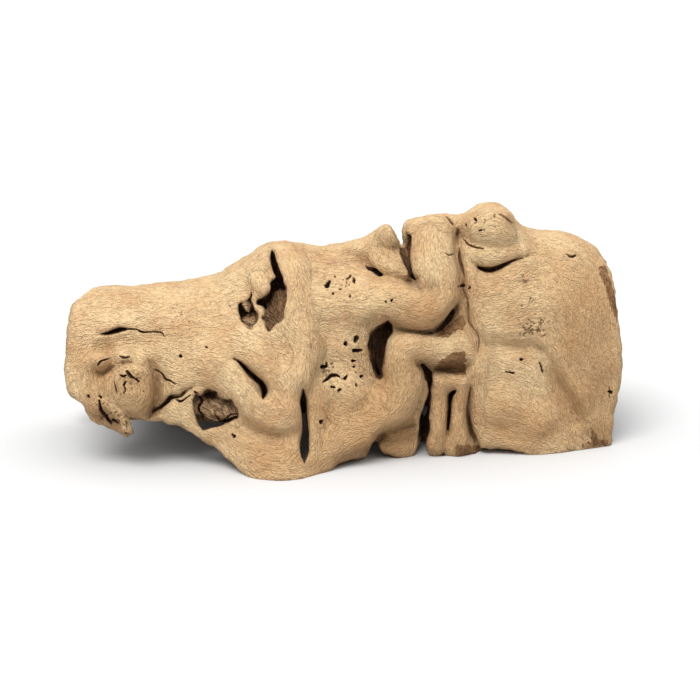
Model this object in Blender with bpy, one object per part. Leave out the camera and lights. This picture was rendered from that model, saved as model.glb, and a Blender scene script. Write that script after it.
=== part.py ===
"""Grapevine tunnel: one hollow length of old grapevine trunk, sandblasted clean.

The trunk is an arch, open below and at both ends, that stands on its lower edges. Its outside is
folded and creased, with holes, slots and worm holes. It is one piece of wood. All sizes below are
in mm and the finished object is in metres, resting on z = 0 with its origin under its middle.
"""

import math

import bpy
import bmesh
import numpy as np

for old in list(bpy.data.objects):
    bpy.data.objects.remove(old, do_unlink=True)

MM = 0.001

SAMPLE_STEP = 1.5
FACES_WANTED = 11400
WOOD_COLOUR = (0.694, 0.462, 0.227)
WOOD_ROUGHNESS = 0.85

# Wood body: where it stands along its length, and how wide and high it is there, in mm.
# x, front wall at the floor, spread of the front foot, crest line, back wall, height of the crest
STATIONS = (
    (-150, -37, 0, 4, 38, 75),
    (-135, -39, 0, 4, 40, 78.5),
    (-118, -42, 0, 4, 43, 80.5),
    (-95, -43, 0, 4, 46, 80),
    (-76, -45, 4, 4, 48, 82),
    (-62, -49, 10, 4, 49, 85.5),
    (-48, -52, 15, 4, 50, 95),
    (-34, -53, 14, 4, 50, 99),
    (-15, -49, 8, 5, 50, 96),
    (5, -45, 3, 5, 50, 97.5),
    (22, -42, 1, 5, 50, 105.5),
    (40, -42, 1, 5, 50, 109),
    (60, -43, 1, 5, 51, 112),
    (75, -44, 1, 5, 52, 116),
    (90, -45, 1, 5, 52, 104),
    (108, -43, 1, 5, 51, 100.5),
    (124, -39, 1, 5, 48, 92),
    (145, -35, 1, 5, 44, 82),
)
FOOT_TOP = 42.0
FRONT_SQUARENESS = 2.6
BACK_SQUARENESS = 2.4
SIDE_WALL = 10.5
TOP_WALL = 12.5
WIDEST_FOLD = 16.0

# Drawing board of the front: it faces a viewer 1 m away, a little to the left and above.
# Marks on it are u to the right and v upward from its middle, in mm.
BOARD_REACH = 1000.0
BOARD_TURN = math.radians(-8)
BOARD_LIFT = math.radians(15)
BOARD_MIDDLE = (0.0, 0.0, 43.3)

LEFT_END = (
    (-108.3, -42), (-112, -43.5), (-114.8, -41.5), (-118, -40), (-121.5, -38.5), (-125, -37),
    (-129.5, -34.5), (-131.5, -31), (-132.5, -27.5), (-136, -25), (-140, -22), (-141.5, -17.5),
    (-142.3, -9.5), (-141.5, 2.5), (-141, 11), (-139.5, 18), (-138.5, 22.5), (-135, 25),
    (-128.5, 31),
)
TOP_EDGE = (
    (-125, 32), (-117.5, 32.5), (-110, 31.5), (-100, 33), (-92.5, 34.5), (-85, 34.5),
    (-75, 36.3), (-64, 39), (-62, 41.5), (-55, 45), (-50, 47.8), (-45, 52), (-42, 54), (-39, 55),
    (-32.5, 55.3), (-25, 54), (-20, 52.8), (-13.5, 52), (-10, 53.5), (-4, 54.3), (0, 56.3),
    (6, 57), (10, 60), (14, 63), (17, 64.3), (19, 63.8), (20.5, 61.5), (22.5, 58), (24, 54.5),
    (25, 52), (27, 52), (27, 55), (26.5, 59), (27, 63), (28.5, 65.5), (31.5, 67.3), (35, 68.3),
    (40, 68.8), (45, 68.5), (50, 67.8), (54, 67.3), (57, 68.3), (60, 70), (64, 73.3), (69, 74.3),
    (74, 73.5), (79, 71), (82, 68), (84, 65), (87, 61.8), (91, 60.5), (95, 60), (102.5, 60),
    (110, 59), (115, 57.8), (120, 55), (123.5, 52), (126, 48), (128.5, 44), (130.5, 39),
    (132, 33.5), (133, 29), (133, 25), (133.5, 20), (134.3, 14),
)
RIGHT_END = (
    (135, 7.5), (136, 2.5), (136.3, -5), (135.5, -12.5), (134.5, -19), (133, -25), (132, -30),
    (131.5, -37.5), (130.5, -42.5), (130.5, -50),
)
# Lower edge of the front wall, right to left; where it stands, it is drawn a little below
# the floor and the floor trims it.
FRONT_HEM = (
    (140, -52), (125, -52), (105, -54.5), (92.5, -55.5), (87.5, -51.8), (82.5, -50.3), (77.5, -49.3),
    (73.5, -48.6), (65, -49), (63.5, -53), (60, -57), (50, -57), (46.5, -51), (44.5, -56),
    (40.5, -55), (39.2, -50), (37.5, -46), (34, -47), (31, -53), (28, -55), (22.5, -53),
    (16, -51), (13.5, -46), (11.5, -45.5), (8.5, -53), (4, -54.5), (0, -55), (-5, -56.5),
    (-8.5, -59), (-15, -64), (-20, -68), (-25, -70), (-47, -70), (-51, -64), (-55, -60),
    (-58.5, -56.5), (-62, -54), (-65, -50.5), (-68, -48), (-72, -46), (-75, -44), (-81, -40),
    (-85, -37), (-91.5, -36.3), (-93.5, -34.8), (-99, -35), (-109, -34.2), (-110.8, -33.3),
    (-110, -37.5), (-108.3, -42), (-112, -43.5), (-125, -44), (-150, -44),
)
# Lower edge of the back wall, seen from behind: x and height.
BACK_HEM = (
    (-150, 17), (-132, 15), (-112, 9), (-98, 3), (-88, -4), (62, -4), (67, 4), (74, 14), (85, 20),
    (97, 18), (105, 9), (110, -2), (116, -4), (150, -4),
)

# Folds of the wood: u, v, half width and height above the body.
FRONT_FOLDS = {
    "main ridge": (
        (-32, 53, 8, 2.5), (-27, 43, 7.5, 3.5), (-26, 30, 8, 3.8), (-25, 18, 8.5, 4), (-22, 6, 10, 5.5),
        (-21, -3, 10.5, 6.8), (-24, -12, 10, 7.5), (-31, -20, 11, 7),
    ),
    "lobe": ((-41, -29, 11, 8.5), (-34, -32, 12, 9.5)),
    "slit bank": ((-54, 6, 8, 3), (-46, -4, 8, 5), (-39, -14, 8, 6)),
    "band over the lower hole": (
        (-72, -4, 9, 3), (-62, -13, 9, 5.5), (-53, -23, 7.5, 7), (-46, -30, 9, 8),
    ),
    "left shoulder": ((-60, 39, 9, 2.5), (-53, 43, 9, 3.5), (-45, 47, 9, 4)),
    "shoulder tongue": ((-50, 40, 7, 4.5), (-45, 33, 5.5, 4.5)),
    "upper ridge": ((-18, 49, 8, 1.5), (-4, 51, 8, 3), (8, 55, 8, 6), (16, 60, 7.5, 9.5)),
    "cleft peak": ((14.5, 60.5, 7, 9.5), (18, 62, 6.5, 13)),
    "column head": ((33, 64, 6.5, 10), (41, 66, 9, 11), (49, 64, 7, 8)),
    "slab by the cleft": ((14, 57, 8, 6), (17, 47, 8, 4), (21, 39, 6, 2.5)),
    "long fold": (
        (-15, 27, 9, 2.5), (-2, 26.5, 11, 5), (12, 26, 12, 8), (27, 22.5, 12, 10),
        (40, 21, 12, 12), (45.5, 27, 12, 12), (43.5, 40, 13, 11.5), (41, 54, 13, 10.5),
        (41, 64, 12, 7),
    ),
    "elbow fold": (
        (60, 0, 8, 4), (50, 0, 8.5, 7), (38, 0.5, 8.5, 9), (28.5, -1, 9, 10), (26.5, -9, 9.5, 11),
        (28.5, -19, 10, 11.5), (24, -29, 12, 11), (15, -37, 12, 9.5), (2, -44, 12, 8),
        (-10, -51, 11, 6),
    ),
    "middle panel": ((-4, -20, 12, 3), (5, -27, 13, 4.5), (0, -35, 12, 5)),
    "heel": ((24, -48, 8.5, 3.5),),
    "first post": ((45, -18, 4.6, 3.5), (45, -30, 4.6, 3.8), (43, -47, 5.5, 5.5)),
    "second post": ((55, -18, 4.8, 3), (56, -33, 5.2, 3.8), (55.5, -49, 6.5, 5.5)),
    "post head": ((44, -16.5, 4, 3), (51, -16.5, 4, 3), (58, -17, 4, 2.5)),
    "collar": ((57, 55, 5, 2), (61, 30, 5, 1.5), (65, 3, 6, 2.5), (64, -20, 5, 2), (65, -40, 5, 1)),
    "crown knob": ((60, 65, 8, 6), (69, 67, 10, 12.5), (77, 64, 9, 9)),
    "crown step": ((68, 50, 9, 4), (79, 51, 9, 3)),
    "low cheek": ((78, -30, 17, 6.5), (90, -36, 16, 6)),
    "cheek foot": ((70, -46, 9, 3), (104, -48, 9, 3)),
    "left of the slot": ((-30, -26, 7, 4), (-28, -42, 7, 3.5), (-29, -56, 9, 4)),
    "right of the slot": ((-16, -22, 7, 3), (-15.5, -38, 7, 4.5), (-17, -53, 8, 5)),
    "foot": ((-54, -48, 9, 2), (-42, -57, 12, 4.5), (-30, -60, 10, 4)),
    "big knot": ((-110, -16, 12, 10), (-107, -21, 12, 10.5)),
    "knot crown": ((-114, -12, 6, 8.5), (-108, -12.5, 6, 11)),
    "knot cheek": ((-103, -15, 6, 9.5), (-102, -23, 6.5, 9.5)),
    "knot flank": ((-119, -14, 5, 6), (-117, -22, 6, 6.5)),
    "small knot left": ((-125, -5.8, 6, 5.5),),
    "small knot right": ((-113, -3.6, 5, 6),),
    "horn": ((-119, -27, 6, 5), (-115, -34, 4.5, 6), (-110.5, -42, 2.8, 5)),
    "left lip": ((-129, -22, 8, 2.5), (-124, -29, 7, 3.5)),
}
# Relief worked into the front: u, v, half width and height (negative is a hollow).
FRONT_RELIEF = {
    "round the upper hole": ((-47, 22, 16, -2.5), (-42, 28, 16, -2.5)),
    "right of the ridge": ((-13, 20, 9, -.6), (-12.5, 2, 8, -2), (-15, -10, 6, -3)),
    "under the ridge's knee": ((-32, 4, 9, -2.5), (-29, -3, 8, -2.5)),
    "left of the ridge": ((-52, -2, 4, -1), (-62, 12, 10, -1)),
    "round the long hole": ((15, 8, 9, -2.5), (14, -10, 7, -3)),
    "panel hollow": ((-7, -12, 8, -2), (2, -10, 8, -1.5)),
    "over the lobe's end": ((-43, -22, 4, -2),),
    "upper cheek": ((80, 26, 16, 2.5), (100, 22, 17, 2.5)),
    "cheek step": ((64, 3, 5, -1.5), (78, 2, 5, -2), (92, 1.5, 5, -2)),
    "lower cheek": ((78, -28, 14, 1), (90, -34, 12, 1)),
    "cheek valley": ((97, -3, 5, -2.5), (101, -12, 5, -3.5), (107, -23, 5, -3.5), (113, -34, 5, -2.5)),
    "cheek ridge": ((99, 2, 5, 1), (107, -11, 5, 3), (114, -23, 6, 3), (121, -36, 6, 2)),
    "upper cheek swell": ((115, 20, 12, 1.5), (122, -5, 10, 1.5)),
    "behind the knot": ((-97, -9, 5, -1.5), (-95.5, -18, 5, -3), (-98, -28, 4, -2.5)),
    "over the knots": ((-125, .8, 3.5, -2.4), (-115.5, 3, 3.5, -1.8), (-106, 1, 5, -1)),
    "between the knots": ((-120, -1, 3, -1.8), (-119.5, -8, 3, -1.8), (-124, -12, 4, -1.5)),
    "lip pit": ((-123, -33, 3.5, -3), (-117, -37.5, 3, -3)),
    "left block swell": ((-132, 14, 10, 1.5), (-110, 20, 12, 1.5)),
    "above the left slit": ((-118, 13, 5, 1), (-106, 14, 5, .6)),
    "below the left slit": ((-122, 5, 4, -1), (-110, 6.5, 4, -.8), (-98, 5.5, 5, -.8)),
    "shoulder dip": ((-84, 26, 12, -1.5), (-70, 24, 10, -1)),
    "heel sides": ((15.5, -44, 3, -3), (33, -44, 3, -3)),
    "crown dip": ((86, 56, 8, -2), (96, 55, 8, -1)),
    "crown cleft": ((84, 62, 5, -1.5),),
}
# Sharp-bottomed creases between the folds: u, v, half width and depth.
FRONT_CREASES = {
    "under the lobe": (
        (-57, -36, 4, 1), (-52, -39, 5, 2), (-44, -42.5, 5, 2.2), (-36, -43, 5, 1.8),
        (-29, -41, 4, .8),
    ),
    "under the upper ridge": (
        (-14, 47.5, 5, 1.5), (-4, 47.5, 5, 2.2), (3, 46.8, 5, 2.5), (9, 42, 4.5, 3.2),
        (15, 38, 4.5, 3.2), (22, 36.5, 4, 2.8), (29, 34.5, 4, 3.2), (33, 34.5, 4, 2.5),
    ),
    "under the long fold": (
        (19, 14, 3.5, 3), (24, 11, 3.5, 3.5), (31, 9.3, 3.2, 3.5), (38, 8.8, 3.5, 4),
        (43, 9.5, 4.5, 5), (46.5, 12.5, 5, 6.5), (50.5, 17.5, 4.5, 6.5), (53.5, 22.5, 4, 4),
    ),
    "under the elbow": (
        (35, -7, 3, 3), (40, -9.5, 3.5, 4.5), (47, -9.8, 3.5, 4.5), (55, -9, 3.5, 3.5),
        (59, -8, 3, 1.5),
    ),
    "under the elbow's hem": (
        (9, -50, 3, 3), (14, -44.5, 3.5, 4), (18, -41, 3.5, 4.5), (24, -39.5, 3.5, 4.5),
        (31, -37.5, 3.5, 4),
    ),
    "column and collar": (
        (51, 67, 3, 1.5), (53.5, 58, 4, 3), (54.5, 49, 4.5, 4), (56, 40, 4.5, 4.5),
        (57, 30, 4.5, 4), (59.5, 17, 4, 3.5), (61.5, 9, 4, 3), (64, 2, 3, 2), (64, -8, 3, 1.5),
    ),
    "low collar": (
        (61.5, -14, 3, 1.5), (60, -25, 4, 3), (59.5, -34, 4.5, 4), (61, -42, 4.5, 4.5),
        (63.5, -50, 4, 4),
    ),
    "cleft to the fold": ((31, 34.5, 3.5, 3), (34, 36, 2.5, 1.5)),
    "beside the slit bank": ((-60, -3, 3, 1), (-52, -9, 4, 3), (-44.5, -16.5, 4, 4), (-42.5, -22, 4, 3)),
    "round the knot": (
        (-101, -5, 3, 1), (-97.5, -10, 3.5, 3), (-96.5, -17, 4, 5), (-97, -25, 4, 4.5),
        (-99.5, -31, 3, 2.5),
    ),
    "over the knot": ((-120, -16, 3, 1.2), (-117.5, -9.5, 3, 2), (-110, -6.8, 3, 2.6), (-103, -8, 3, 1.6)),
    "under the small knot": ((-128, -9, 3, 1.2), (-124, -11.5, 3, 2.2), (-120, -9, 3, 1.5)),
    "knot and crack": ((-99, -32, 3, 1.5), (-92, -26, 4, 3), (-84.5, -22.5, 3.5, 2), (-78, -18, 3, 1)),
    "under the crown": (
        (60, 44, 4, 1.5), (66, 40.5, 5, 3), (73, 40, 5, 3.2), (80, 43, 5, 2.5), (91, 47.5, 5, 1.2),
    ),
    "right of the tall slot": ((-24, -18, 3, 1.5), (-23, -30, 3.5, 2.5), (-22.5, -50, 4, 2.5)),
    "post slit": ((52, -21, 2.5, 1.5), (50, -27, 2.5, 2), (49, -42, 2.5, 1.5)),
    "cheek fold": (
        (65, 2.5, 3, .8), (74, 2, 3.5, 1.8), (84, 1.5, 3.5, 2.2), (93, 1.5, 3.5, 1.8), (98, -3, 3.5, 1.6),
        (102, -12, 4, 2.4), (107, -22, 4.5, 2.4), (113, -33, 4, 1.8), (119, -43, 3, 1),
    ),
}
BACK_FOLDS = {
    "long back fold": (
        (-138, 40, 9, 3), (-105, 48, 10, 5), (-72, 44, 11, 6), (-40, 54, 12, 7), (-8, 46, 11, 6),
        (22, 58, 12, 7), (52, 50, 12, 6), (84, 60, 11, 5), (128, 52, 10, 3),
    ),
    "low back fold": (
        (-120, 16, 8, 3), (-84, 14, 10, 5), (-58, 24, 10, 6), (-48, 40, 9, 6),
    ),
    "back foot": ((-66, 30, 9, 5), (-72, 12, 10, 6), (-76, -2, 11, 7)),
    "second back foot": ((6, 44, 10, 5), (12, 24, 11, 7), (16, 6, 12, 7), (18, -3, 12, 7)),
    "arch lip": ((60, 8, 6, 4), (67, 19, 6, 4.5), (84, 28, 6.5, 5), (101, 24, 6, 4.5), (112, 8, 6, 4)),
    "middle back fold": ((-44, 40, 9, 4), (-30, 22, 10, 6), (-14, 12, 11, 5), (-2, -2, 9, 4)),
    "right back fold": ((44, 46, 8, 3), (66, 38, 8, 4), (98, 42, 9, 4), (126, 34, 8, 3)),
    "back knot": ((104, 58, 11, 6),),
    "small back knot": ((-112, 54, 8, 4.5),),
    "upper back fold": ((-56, 62, 9, 2.5), (-20, 68, 10, 4), (24, 74, 10, 4), (66, 70, 10, 3)),
}
BACK_RELIEF = {
    "long valley": ((-90, 30, 14, -2.5), (-20, 36, 12, -2), (38, 32, 14, -2.5), (80, 38, 14, -2.5)),
    "low swell": ((60, 10, 12, 2), (100, 6, 12, 2)),
    "knot hollow": ((-66, 56, 8, -2.5), (40, 60, 9, -2)),
}
BACK_CREASES = {
    "under the long back fold": (
        (-128, 33, 6, 1), (-104, 38, 8, 2.2), (-80, 31, 8, 3), (-64, 33, 7, 3), (-50, 43, 8, 2),
        (-34, 41, 7, 1),
    ),
    "over the long back fold": (
        (-56, 60, 7, 1), (-38, 66, 8, 2.4), (-20, 62, 8, 2.6), (-6, 57, 7, 1.5),
    ),
    "right back crease": ((14, 66, 7, 1), (30, 70, 8, 2.2), (52, 61, 8, 2.6), (76, 66, 7, 1)),
    "between the back feet": ((24, 40, 6, 1.5), (29, 22, 7, 3.5), (33, 4, 7, 3.5)),
}
# Slits of the back: x, height and half width, with how deep they go (0 is right through).
BACK_SLITS = {
    "long back slit": (
        ((-98, 25, .5), (-92, 24, 1.6), (-84, 25, 2.2), (-77, 28, 1.6), (-72, 31, .5)), 0),
    "upright back slit": (((36, 52, .4), (37.5, 44, 1.4), (37, 36, 1.5), (38.5, 28, .5)), 8),
    "end crack": (((128, 66, .5), (118, 64, 1.1), (106, 62, .9), (96, 63, .3)), 7),
    "low back crack": (((-20, 2, 1), (-18, 12, 1.2), (-19.5, 22, .8), (-18, 29, .3)), 6),
}

# Openings right through the front wall, and pockets that stop in the wood.
UPPER_SLOT = (
    (-38.8, 50), (-37.2, 47), (-36.8, 44), (-35.5, 41), (-34.2, 38.5), (-33, 35.5), (-32, 32),
    (-31.7, 30), (-35.5, 30), (-37.8, 29.2), (-39.2, 27), (-40.8, 24.8), (-42.2, 23), (-43, 20.5),
    (-45, 21.8), (-47, 22.5), (-47.2, 24), (-46.2, 25.2), (-44, 25.5), (-42, 27), (-40.5, 29.2),
    (-39.5, 31.2), (-40, 33.2), (-38.5, 35), (-37.2, 36.2), (-38.5, 39), (-39.8, 42.5), (-40, 46),
)
UPPER_SHELF = (
    (-31.7, 30.5), (-31.6, 26.5), (-32, 23.5), (-32.2, 21), (-33, 18), (-33.5, 16), (-34.8, 14.2),
    (-36, 13.8), (-37.5, 12.5), (-39, 10.5), (-40.5, 9), (-42, 11.5), (-42.5, 13.5), (-44, 15),
    (-44.2, 16), (-43.1, 17.5), (-43, 20.5), (-42.2, 23), (-40.8, 24.8), (-39.2, 27),
    (-37.8, 29.2), (-35.5, 30.5),
)
UPPER_POCKET = (
    (-55.8, 23), (-54.5, 24), (-51.5, 24.8), (-50.1, 26.5), (-49.5, 29.8), (-48.6, 27),
    (-49, 25.2), (-48.2, 23), (-47.8, 20.5), (-46.2, 19), (-45.8, 17), (-46, 15), (-47, 13.2),
    (-48.5, 11.5), (-49, 10), (-50.2, 10), (-52.5, 12), (-54, 14), (-55, 16.5), (-55.8, 19.5),
)
LOWER_HOLE = (
    (-79, -26), (-77, -22), (-75, -23), (-72.5, -20.5), (-71, -19.3), (-69, -20), (-66.5, -20.3),
    (-66, -23), (-63, -24.5), (-59.5, -24.5), (-57.5, -27), (-56, -29), (-55.5, -32.5),
    (-56, -34.5), (-61, -36.8), (-67.5, -39), (-73.5, -40), (-76, -37.5), (-77.5, -33),
)
LONG_HOLE = (
    (19, 15), (21, 12.5), (21.5, 9), (19, 5), (17.5, 1.5), (17.5, -2.5), (17, -7.5), (16, -10.5),
    (16.5, -13.5), (15, -15), (13, -13.5), (11.5, -10), (10.5, -6), (10, -2.5), (8.5, 2.5),
    (10, 7.5), (12.5, 10.5), (16, 13),
)
POST_SLOT = (
    (35.5, -6.5), (37, -7), (39.5, -9.5), (41, -12), (41.5, -15), (41, -19), (40.5, -25),
    (40, -32.5), (40, -40), (39, -44), (38.5, -50), (34, -50), (34.3, -42), (35, -35),
    (35.5, -30.5), (37, -28), (38.5, -24), (39, -20), (38.5, -16), (37, -12), (35.5, -8),
)
CLEFT = (
    (20.5, 72), (22.5, 58), (24, 54.5), (24.5, 51), (25, 47.5), (26.5, 44), (28, 41), (29.5, 37),
    (31.5, 34.6), (33.6, 35.2), (32.3, 37), (30.8, 41), (30, 45), (30.3, 49), (31, 53.5),
    (31, 57), (27.5, 59), (27, 63), (26.5, 72),
)
# outline, how deep below the skin it goes (0 is right through), rounding of its rim
FRONT_HOLES = {
    "upper slot": (UPPER_SLOT, 16, 1.6),
    "upper shelf": (UPPER_SHELF, 9, 1.6),
    "upper pocket": (UPPER_POCKET, 13, 1.6),
    "lower hole": (LOWER_HOLE, 16, 1.6),
    "long hole": (LONG_HOLE, 14, 2.0),
    "post slot": (POST_SLOT, 17, 1.4),
    "cleft": (CLEFT, 12, 0.9),
}
# Slits: marks of u, v and half width, with how deep they go (0 is right through).
FRONT_SLITS = {
    "slanting slit": (
        ((-58.5, -4.5, .4), (-56, -5.5, .8), (-52.5, -9, 1.2), (-50, -12, 1.3), (-47, -14.5, 1.4),
         (-44.5, -16.5, 1.5), (-43, -19, 1.6), (-42.5, -21.5, 1.5), (-43.5, -24.5, .6)), 14),
    "tall slot": (
        ((-23.5, -20, .6), (-23.5, -25, 1.5), (-22.8, -32.5, 1.5), (-22.3, -39, 1.4),
         (-22.8, -45, 2.2), (-22.8, -50, 2.2), (-22.8, -56.5, .4)), 0),
    "post slit": (
        ((52.5, -20.5, 1), (50.5, -22.5, 1.4), (50, -25, 1.1), (49.7, -30, .9), (49.3, -35, .9),
         (49, -40, .5)), 13),
    "collar slit": (
        ((54.5, 49.5, .8), (55, 45, 1.3), (56.5, 40, 1.3), (57, 36, .6)), 4.5),
    "collar crease": (
        ((57, 36, .4), (56.5, 31, .6), (58.5, 25, .6), (59.5, 15, .5), (61, 11.5, .6),
         (63.5, 8, .7), (64.5, 4, .4), (64, -1, .3), (63.5, -7, .2)), 1.4),
    "low collar groove": (
        ((60, -18, .4), (59.5, -24.5, .8), (58.8, -30, 1.2), (59.3, -34, 1.4), (60.5, -40, 1.5),
         (62.5, -45, 1.5), (64, -50, 1.3)), 2.6),
    "crown slit": (
        ((62, 43, .3), (65, 41, .9), (69, 40, 1.5), (73, 40.8, 1.5), (77.5, 42.8, 1),
         (82.5, 45, .6), (91.5, 47.5, .3)), 7),
    "small crown slit": (((56.5, 55.5, .3), (59, 53, .7), (62.5, 51.5, .7), (66.5, 50.8, .4)), 3.5),
    "left slit": (
        ((-124.5, 8, .3), (-121.5, 8.3, 1), (-117.5, 9.5, 1.5), (-114, 10.5, 1.3),
         (-111.5, 10.5, .5)), 9),
    "left slit tail": (
        ((-111.5, 10.5, .4), (-106.5, 10.3, .3), (-104, 9, .4), (-95, 9, .3), (-93, 7, .2)), 3),
    "crack by the knot": (
        ((-100.5, -33.5, .4), (-98, -30.5, .8), (-95, -29, .9), (-91, -25.5, 1.3),
         (-89.5, -23.5, 1.1), (-87.5, -23.3, .9), (-84.5, -23, .7), (-82, -20.5, .8),
         (-77.5, -18, .3)), 7),
    "crack branch": (((-87.5, -24, .5), (-84.5, -25.6, .5), (-80, -22.5, .3)), 3),
    "slit in the long fold's bend": (
        ((42.5, 9, .5), (45.5, 11, 1.1), (49, 15, 1.3), (51, 18.5, 1.1), (53, 21.5, .4)), 8),
    "slit under the slab": (((8, 42, .3), (9, 41, .7), (12, 40, 1.1), (14.5, 38, 1.1), (16, 37.5, .4)), 5),
    "knot crack": (
        ((-111.5, -10.8, .8), (-109.5, -13.5, 1), (-108, -14, .5), (-105.5, -15.8, .4)), 4),
    "knot crack left": (((-115, -12.5, .3), (-113.5, -13.2, .6), (-112, -12.6, .3)), 3),
    "knot crack low": (((-112.3, -16, .5), (-113.3, -17.6, .5)), 2.5),
    "small knot crack": (((-126, -7.6, .4), (-124.5, -5.6, .5), (-120.5, -4.4, .3)), 2.5),
    "small knot crack right": (((-115, -3, .4), (-112.5, -3.8, .6), (-110.3, -3.2, .4)), 2.5),
    "crack right of the knot": (
        ((-97, -10, .4), (-94, -12, .5), (-92.5, -14.5, .6), (-90, -15.5, .4), (-87.5, -17, .3)),
        3),
    "panel slit": (
        ((-13.5, -16, .4), (-11, -14, .8), (-9.5, -12.7, 1), (-7, -12.5, .8), (-5.2, -13.3, .3)),
        4),
    "cheek slit": (((95, -6.5, .4), (96.5, -11, .5)), 2.5),
    "cheek slit low": (((78, -11, .3), (82, -11.6, .4)), 2),
    "shoulder slit": (((108.5, 48, .3), (110.5, 46.8, .7), (113, 47.4, .4)), 2.5),
    "second line of the fold": (((36, 8, .3), (41.5, 8.6, .4)), 2),
    "crown line": (((48.5, 66.5, .3), (51.5, 63, .6)), 2),
}
# Worm holes: u, v, radius and depth.
PORES = (
    (-10.8, 33.3, 1.5, 6), (-8.3, 28.2, .7, 4), (-5, 30.5, .6, 4), (-1, 36, .7, 4), (0, 36.8, .6, 4),
    (2, 35.5, .8, 4), (2, 34.2, .6, 3), (0, 27.2, .5, 3), (-7.5, 37, .5, 3), (21, 25, .7, 4),
    (18, 24, .6, 3), (-2, 3.6, 1.3, 6), (3, 5.2, 1.7, 7), (4.8, -.2, 1.2, 5), (2.8, -.2, 1.2, 5),
    (2, -5.5, .9, 4), (2, -8.2, .8, 4), (6, -13, .9, 4), (-2, -13.5, .9, 4), (3.2, -17.2, .7, 3),
    (-5.5, -20, .8, 4), (-8.5, -18.5, .7, 3), (-13, -8.5, 1.3, 4), (-11.7, -7.2, .8, 4),
    (-14, -35.7, 1.4, 6), (-58.5, -42.7, .9, 4), (62.5, 65.5, .8, 3), (58, 62.7, .6, 3),
    (65, 59.7, .6, 3), (55.5, 32, .9, 4), (59.5, 31, .7, 3), (86, -4.7, 1, 5), (130, -21, .9, 3),
    (-85, -3, 1.1, 5), (-72, 1.5, .6, 3), (-60, 22, .5, 3),
)
# Wood left inside the holes: u, v, how far below the skin, radius.
HOLE_WOOD = {
    "knot in the lower hole": ((-69, -29, 8, 6), (-61, -30, 8, 5.5), (-54, -33, 8, 5)),
    "knot root": ((-73, -27, 7, 4), (-79, -27, 8, 5)),
    "nub in the upper hole": ((-52, 22.5, 5, 1.8), (-51, 20.5, 6, 1.5)),
    "floor of the upper pocket": ((-51, 12, 11, 4.5), (-48.5, 14.5, 11, 4)),
}
# Where the front wall is thicker inside: u, v, half width and extra thickness.
WALL_SWELLS = {
    "behind the upper hole": ((-28, 22, 9, 10), (-34, 14, 8, 10), (-42, 3, 8, 8)),
    "thin beside the upper hole": ((-53, 20, 5, -6),),
    "thin over the upper hole": ((-37, 44, 5, -6), (-38, 36, 4, -4)),
    "behind the lower hole": ((-76, -28, 9, 8), (-64, -29, 9, 9), (-54, -33, 9, 8)),
    "behind the long hole": ((16, 8, 9, 8), (14, -2, 9, 9), (15, -12, 9, 8)),
    "behind the posts": ((37, -46, 7, 9), (39, -30, 6, 7), (50, -28, 10, 5)),
    "behind the slanting slit": ((-54, -8, 8, 6), (-44, -18, 9, 7)),
    "under the crown": ((40, 50, 18, 4), (70, 46, 18, 4)),
}


def smooth_curve(points, per_span=6):
    """A smooth curve through every row of points, whatever its columns hold."""
    p = np.asarray(points, dtype=float)
    if len(p) < 2:
        return p
    ends = np.vstack([2 * p[0] - p[1], p, 2 * p[-1] - p[-2]])
    t = np.linspace(0, 1, per_span, endpoint=False)[:, None]
    rows = []
    for a, b, c, d in zip(ends[:-3], ends[1:-2], ends[2:-1], ends[3:]):
        rows.append(0.5 * (2 * b + (c - a) * t + (2 * a - 5 * b + 4 * c - d) * t ** 2
                           + (3 * b - a - 3 * c + d) * t ** 3))
    return np.vstack(rows + [p[-1:]])


STATION_CURVES = smooth_curve(STATIONS, 12)


def station(column, x):
    return np.interp(x, STATION_CURVES[:, 0], STATION_CURVES[:, column])


def body_distance(x, y, z):
    """Distance outside the plain arched body, in mm; negative inside it."""
    crest = station(3, x)
    height = station(5, x)
    spread = station(2, x) * np.clip(1 - z / FOOT_TOP, 0, 1) ** 2
    front = crest - station(1, x) + spread
    back = station(4, x) - crest
    is_front = y < crest
    reach = np.where(is_front, front, back)
    power = np.where(is_front, FRONT_SQUARENESS, BACK_SQUARENESS)
    across = np.maximum(np.abs(y - crest) / reach, 1e-4)
    up = np.maximum(z, 0) / height + 1e-4
    whole = across ** power + up ** power
    level = whole ** (1 / power)
    slope = level ** (1 - power) * np.sqrt((across ** (power - 1) / reach) ** 2
                                           + (up ** (power - 1) / height) ** 2)
    return (level - 1) / slope


def body_normal(p):
    step = 0.5
    n = []
    for axis in range(3):
        ahead = p.copy()
        behind = p.copy()
        ahead[:, axis] += step
        behind[:, axis] -= step
        n.append(body_distance(*ahead.T) - body_distance(*behind.T))
    n = np.array(n).T
    return n / np.linalg.norm(n, axis=1, keepdims=True)


BOARD_BACK = np.array((math.sin(BOARD_TURN) * math.cos(BOARD_LIFT),
                       -math.cos(BOARD_TURN) * math.cos(BOARD_LIFT), math.sin(BOARD_LIFT)))
BOARD_RIGHT = np.array((math.cos(BOARD_TURN), math.sin(BOARD_TURN), 0.0))
BOARD_UP = np.cross(BOARD_BACK, BOARD_RIGHT)
BOARD_EYE = np.array(BOARD_MIDDLE) + BOARD_BACK * BOARD_REACH


def on_board(x, y, z):
    """Where a point of the wood is drawn on the front board."""
    dx, dy, dz = x - BOARD_MIDDLE[0], y - BOARD_MIDDLE[1], z - BOARD_MIDDLE[2]
    nearer = BOARD_REACH / (BOARD_REACH - dx * BOARD_BACK[0] - dy * BOARD_BACK[1]
                            - dz * BOARD_BACK[2])
    u = (dx * BOARD_RIGHT[0] + dy * BOARD_RIGHT[1]) * nearer
    v = (dx * BOARD_UP[0] + dy * BOARD_UP[1] + dz * BOARD_UP[2]) * nearer
    return u, v


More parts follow.
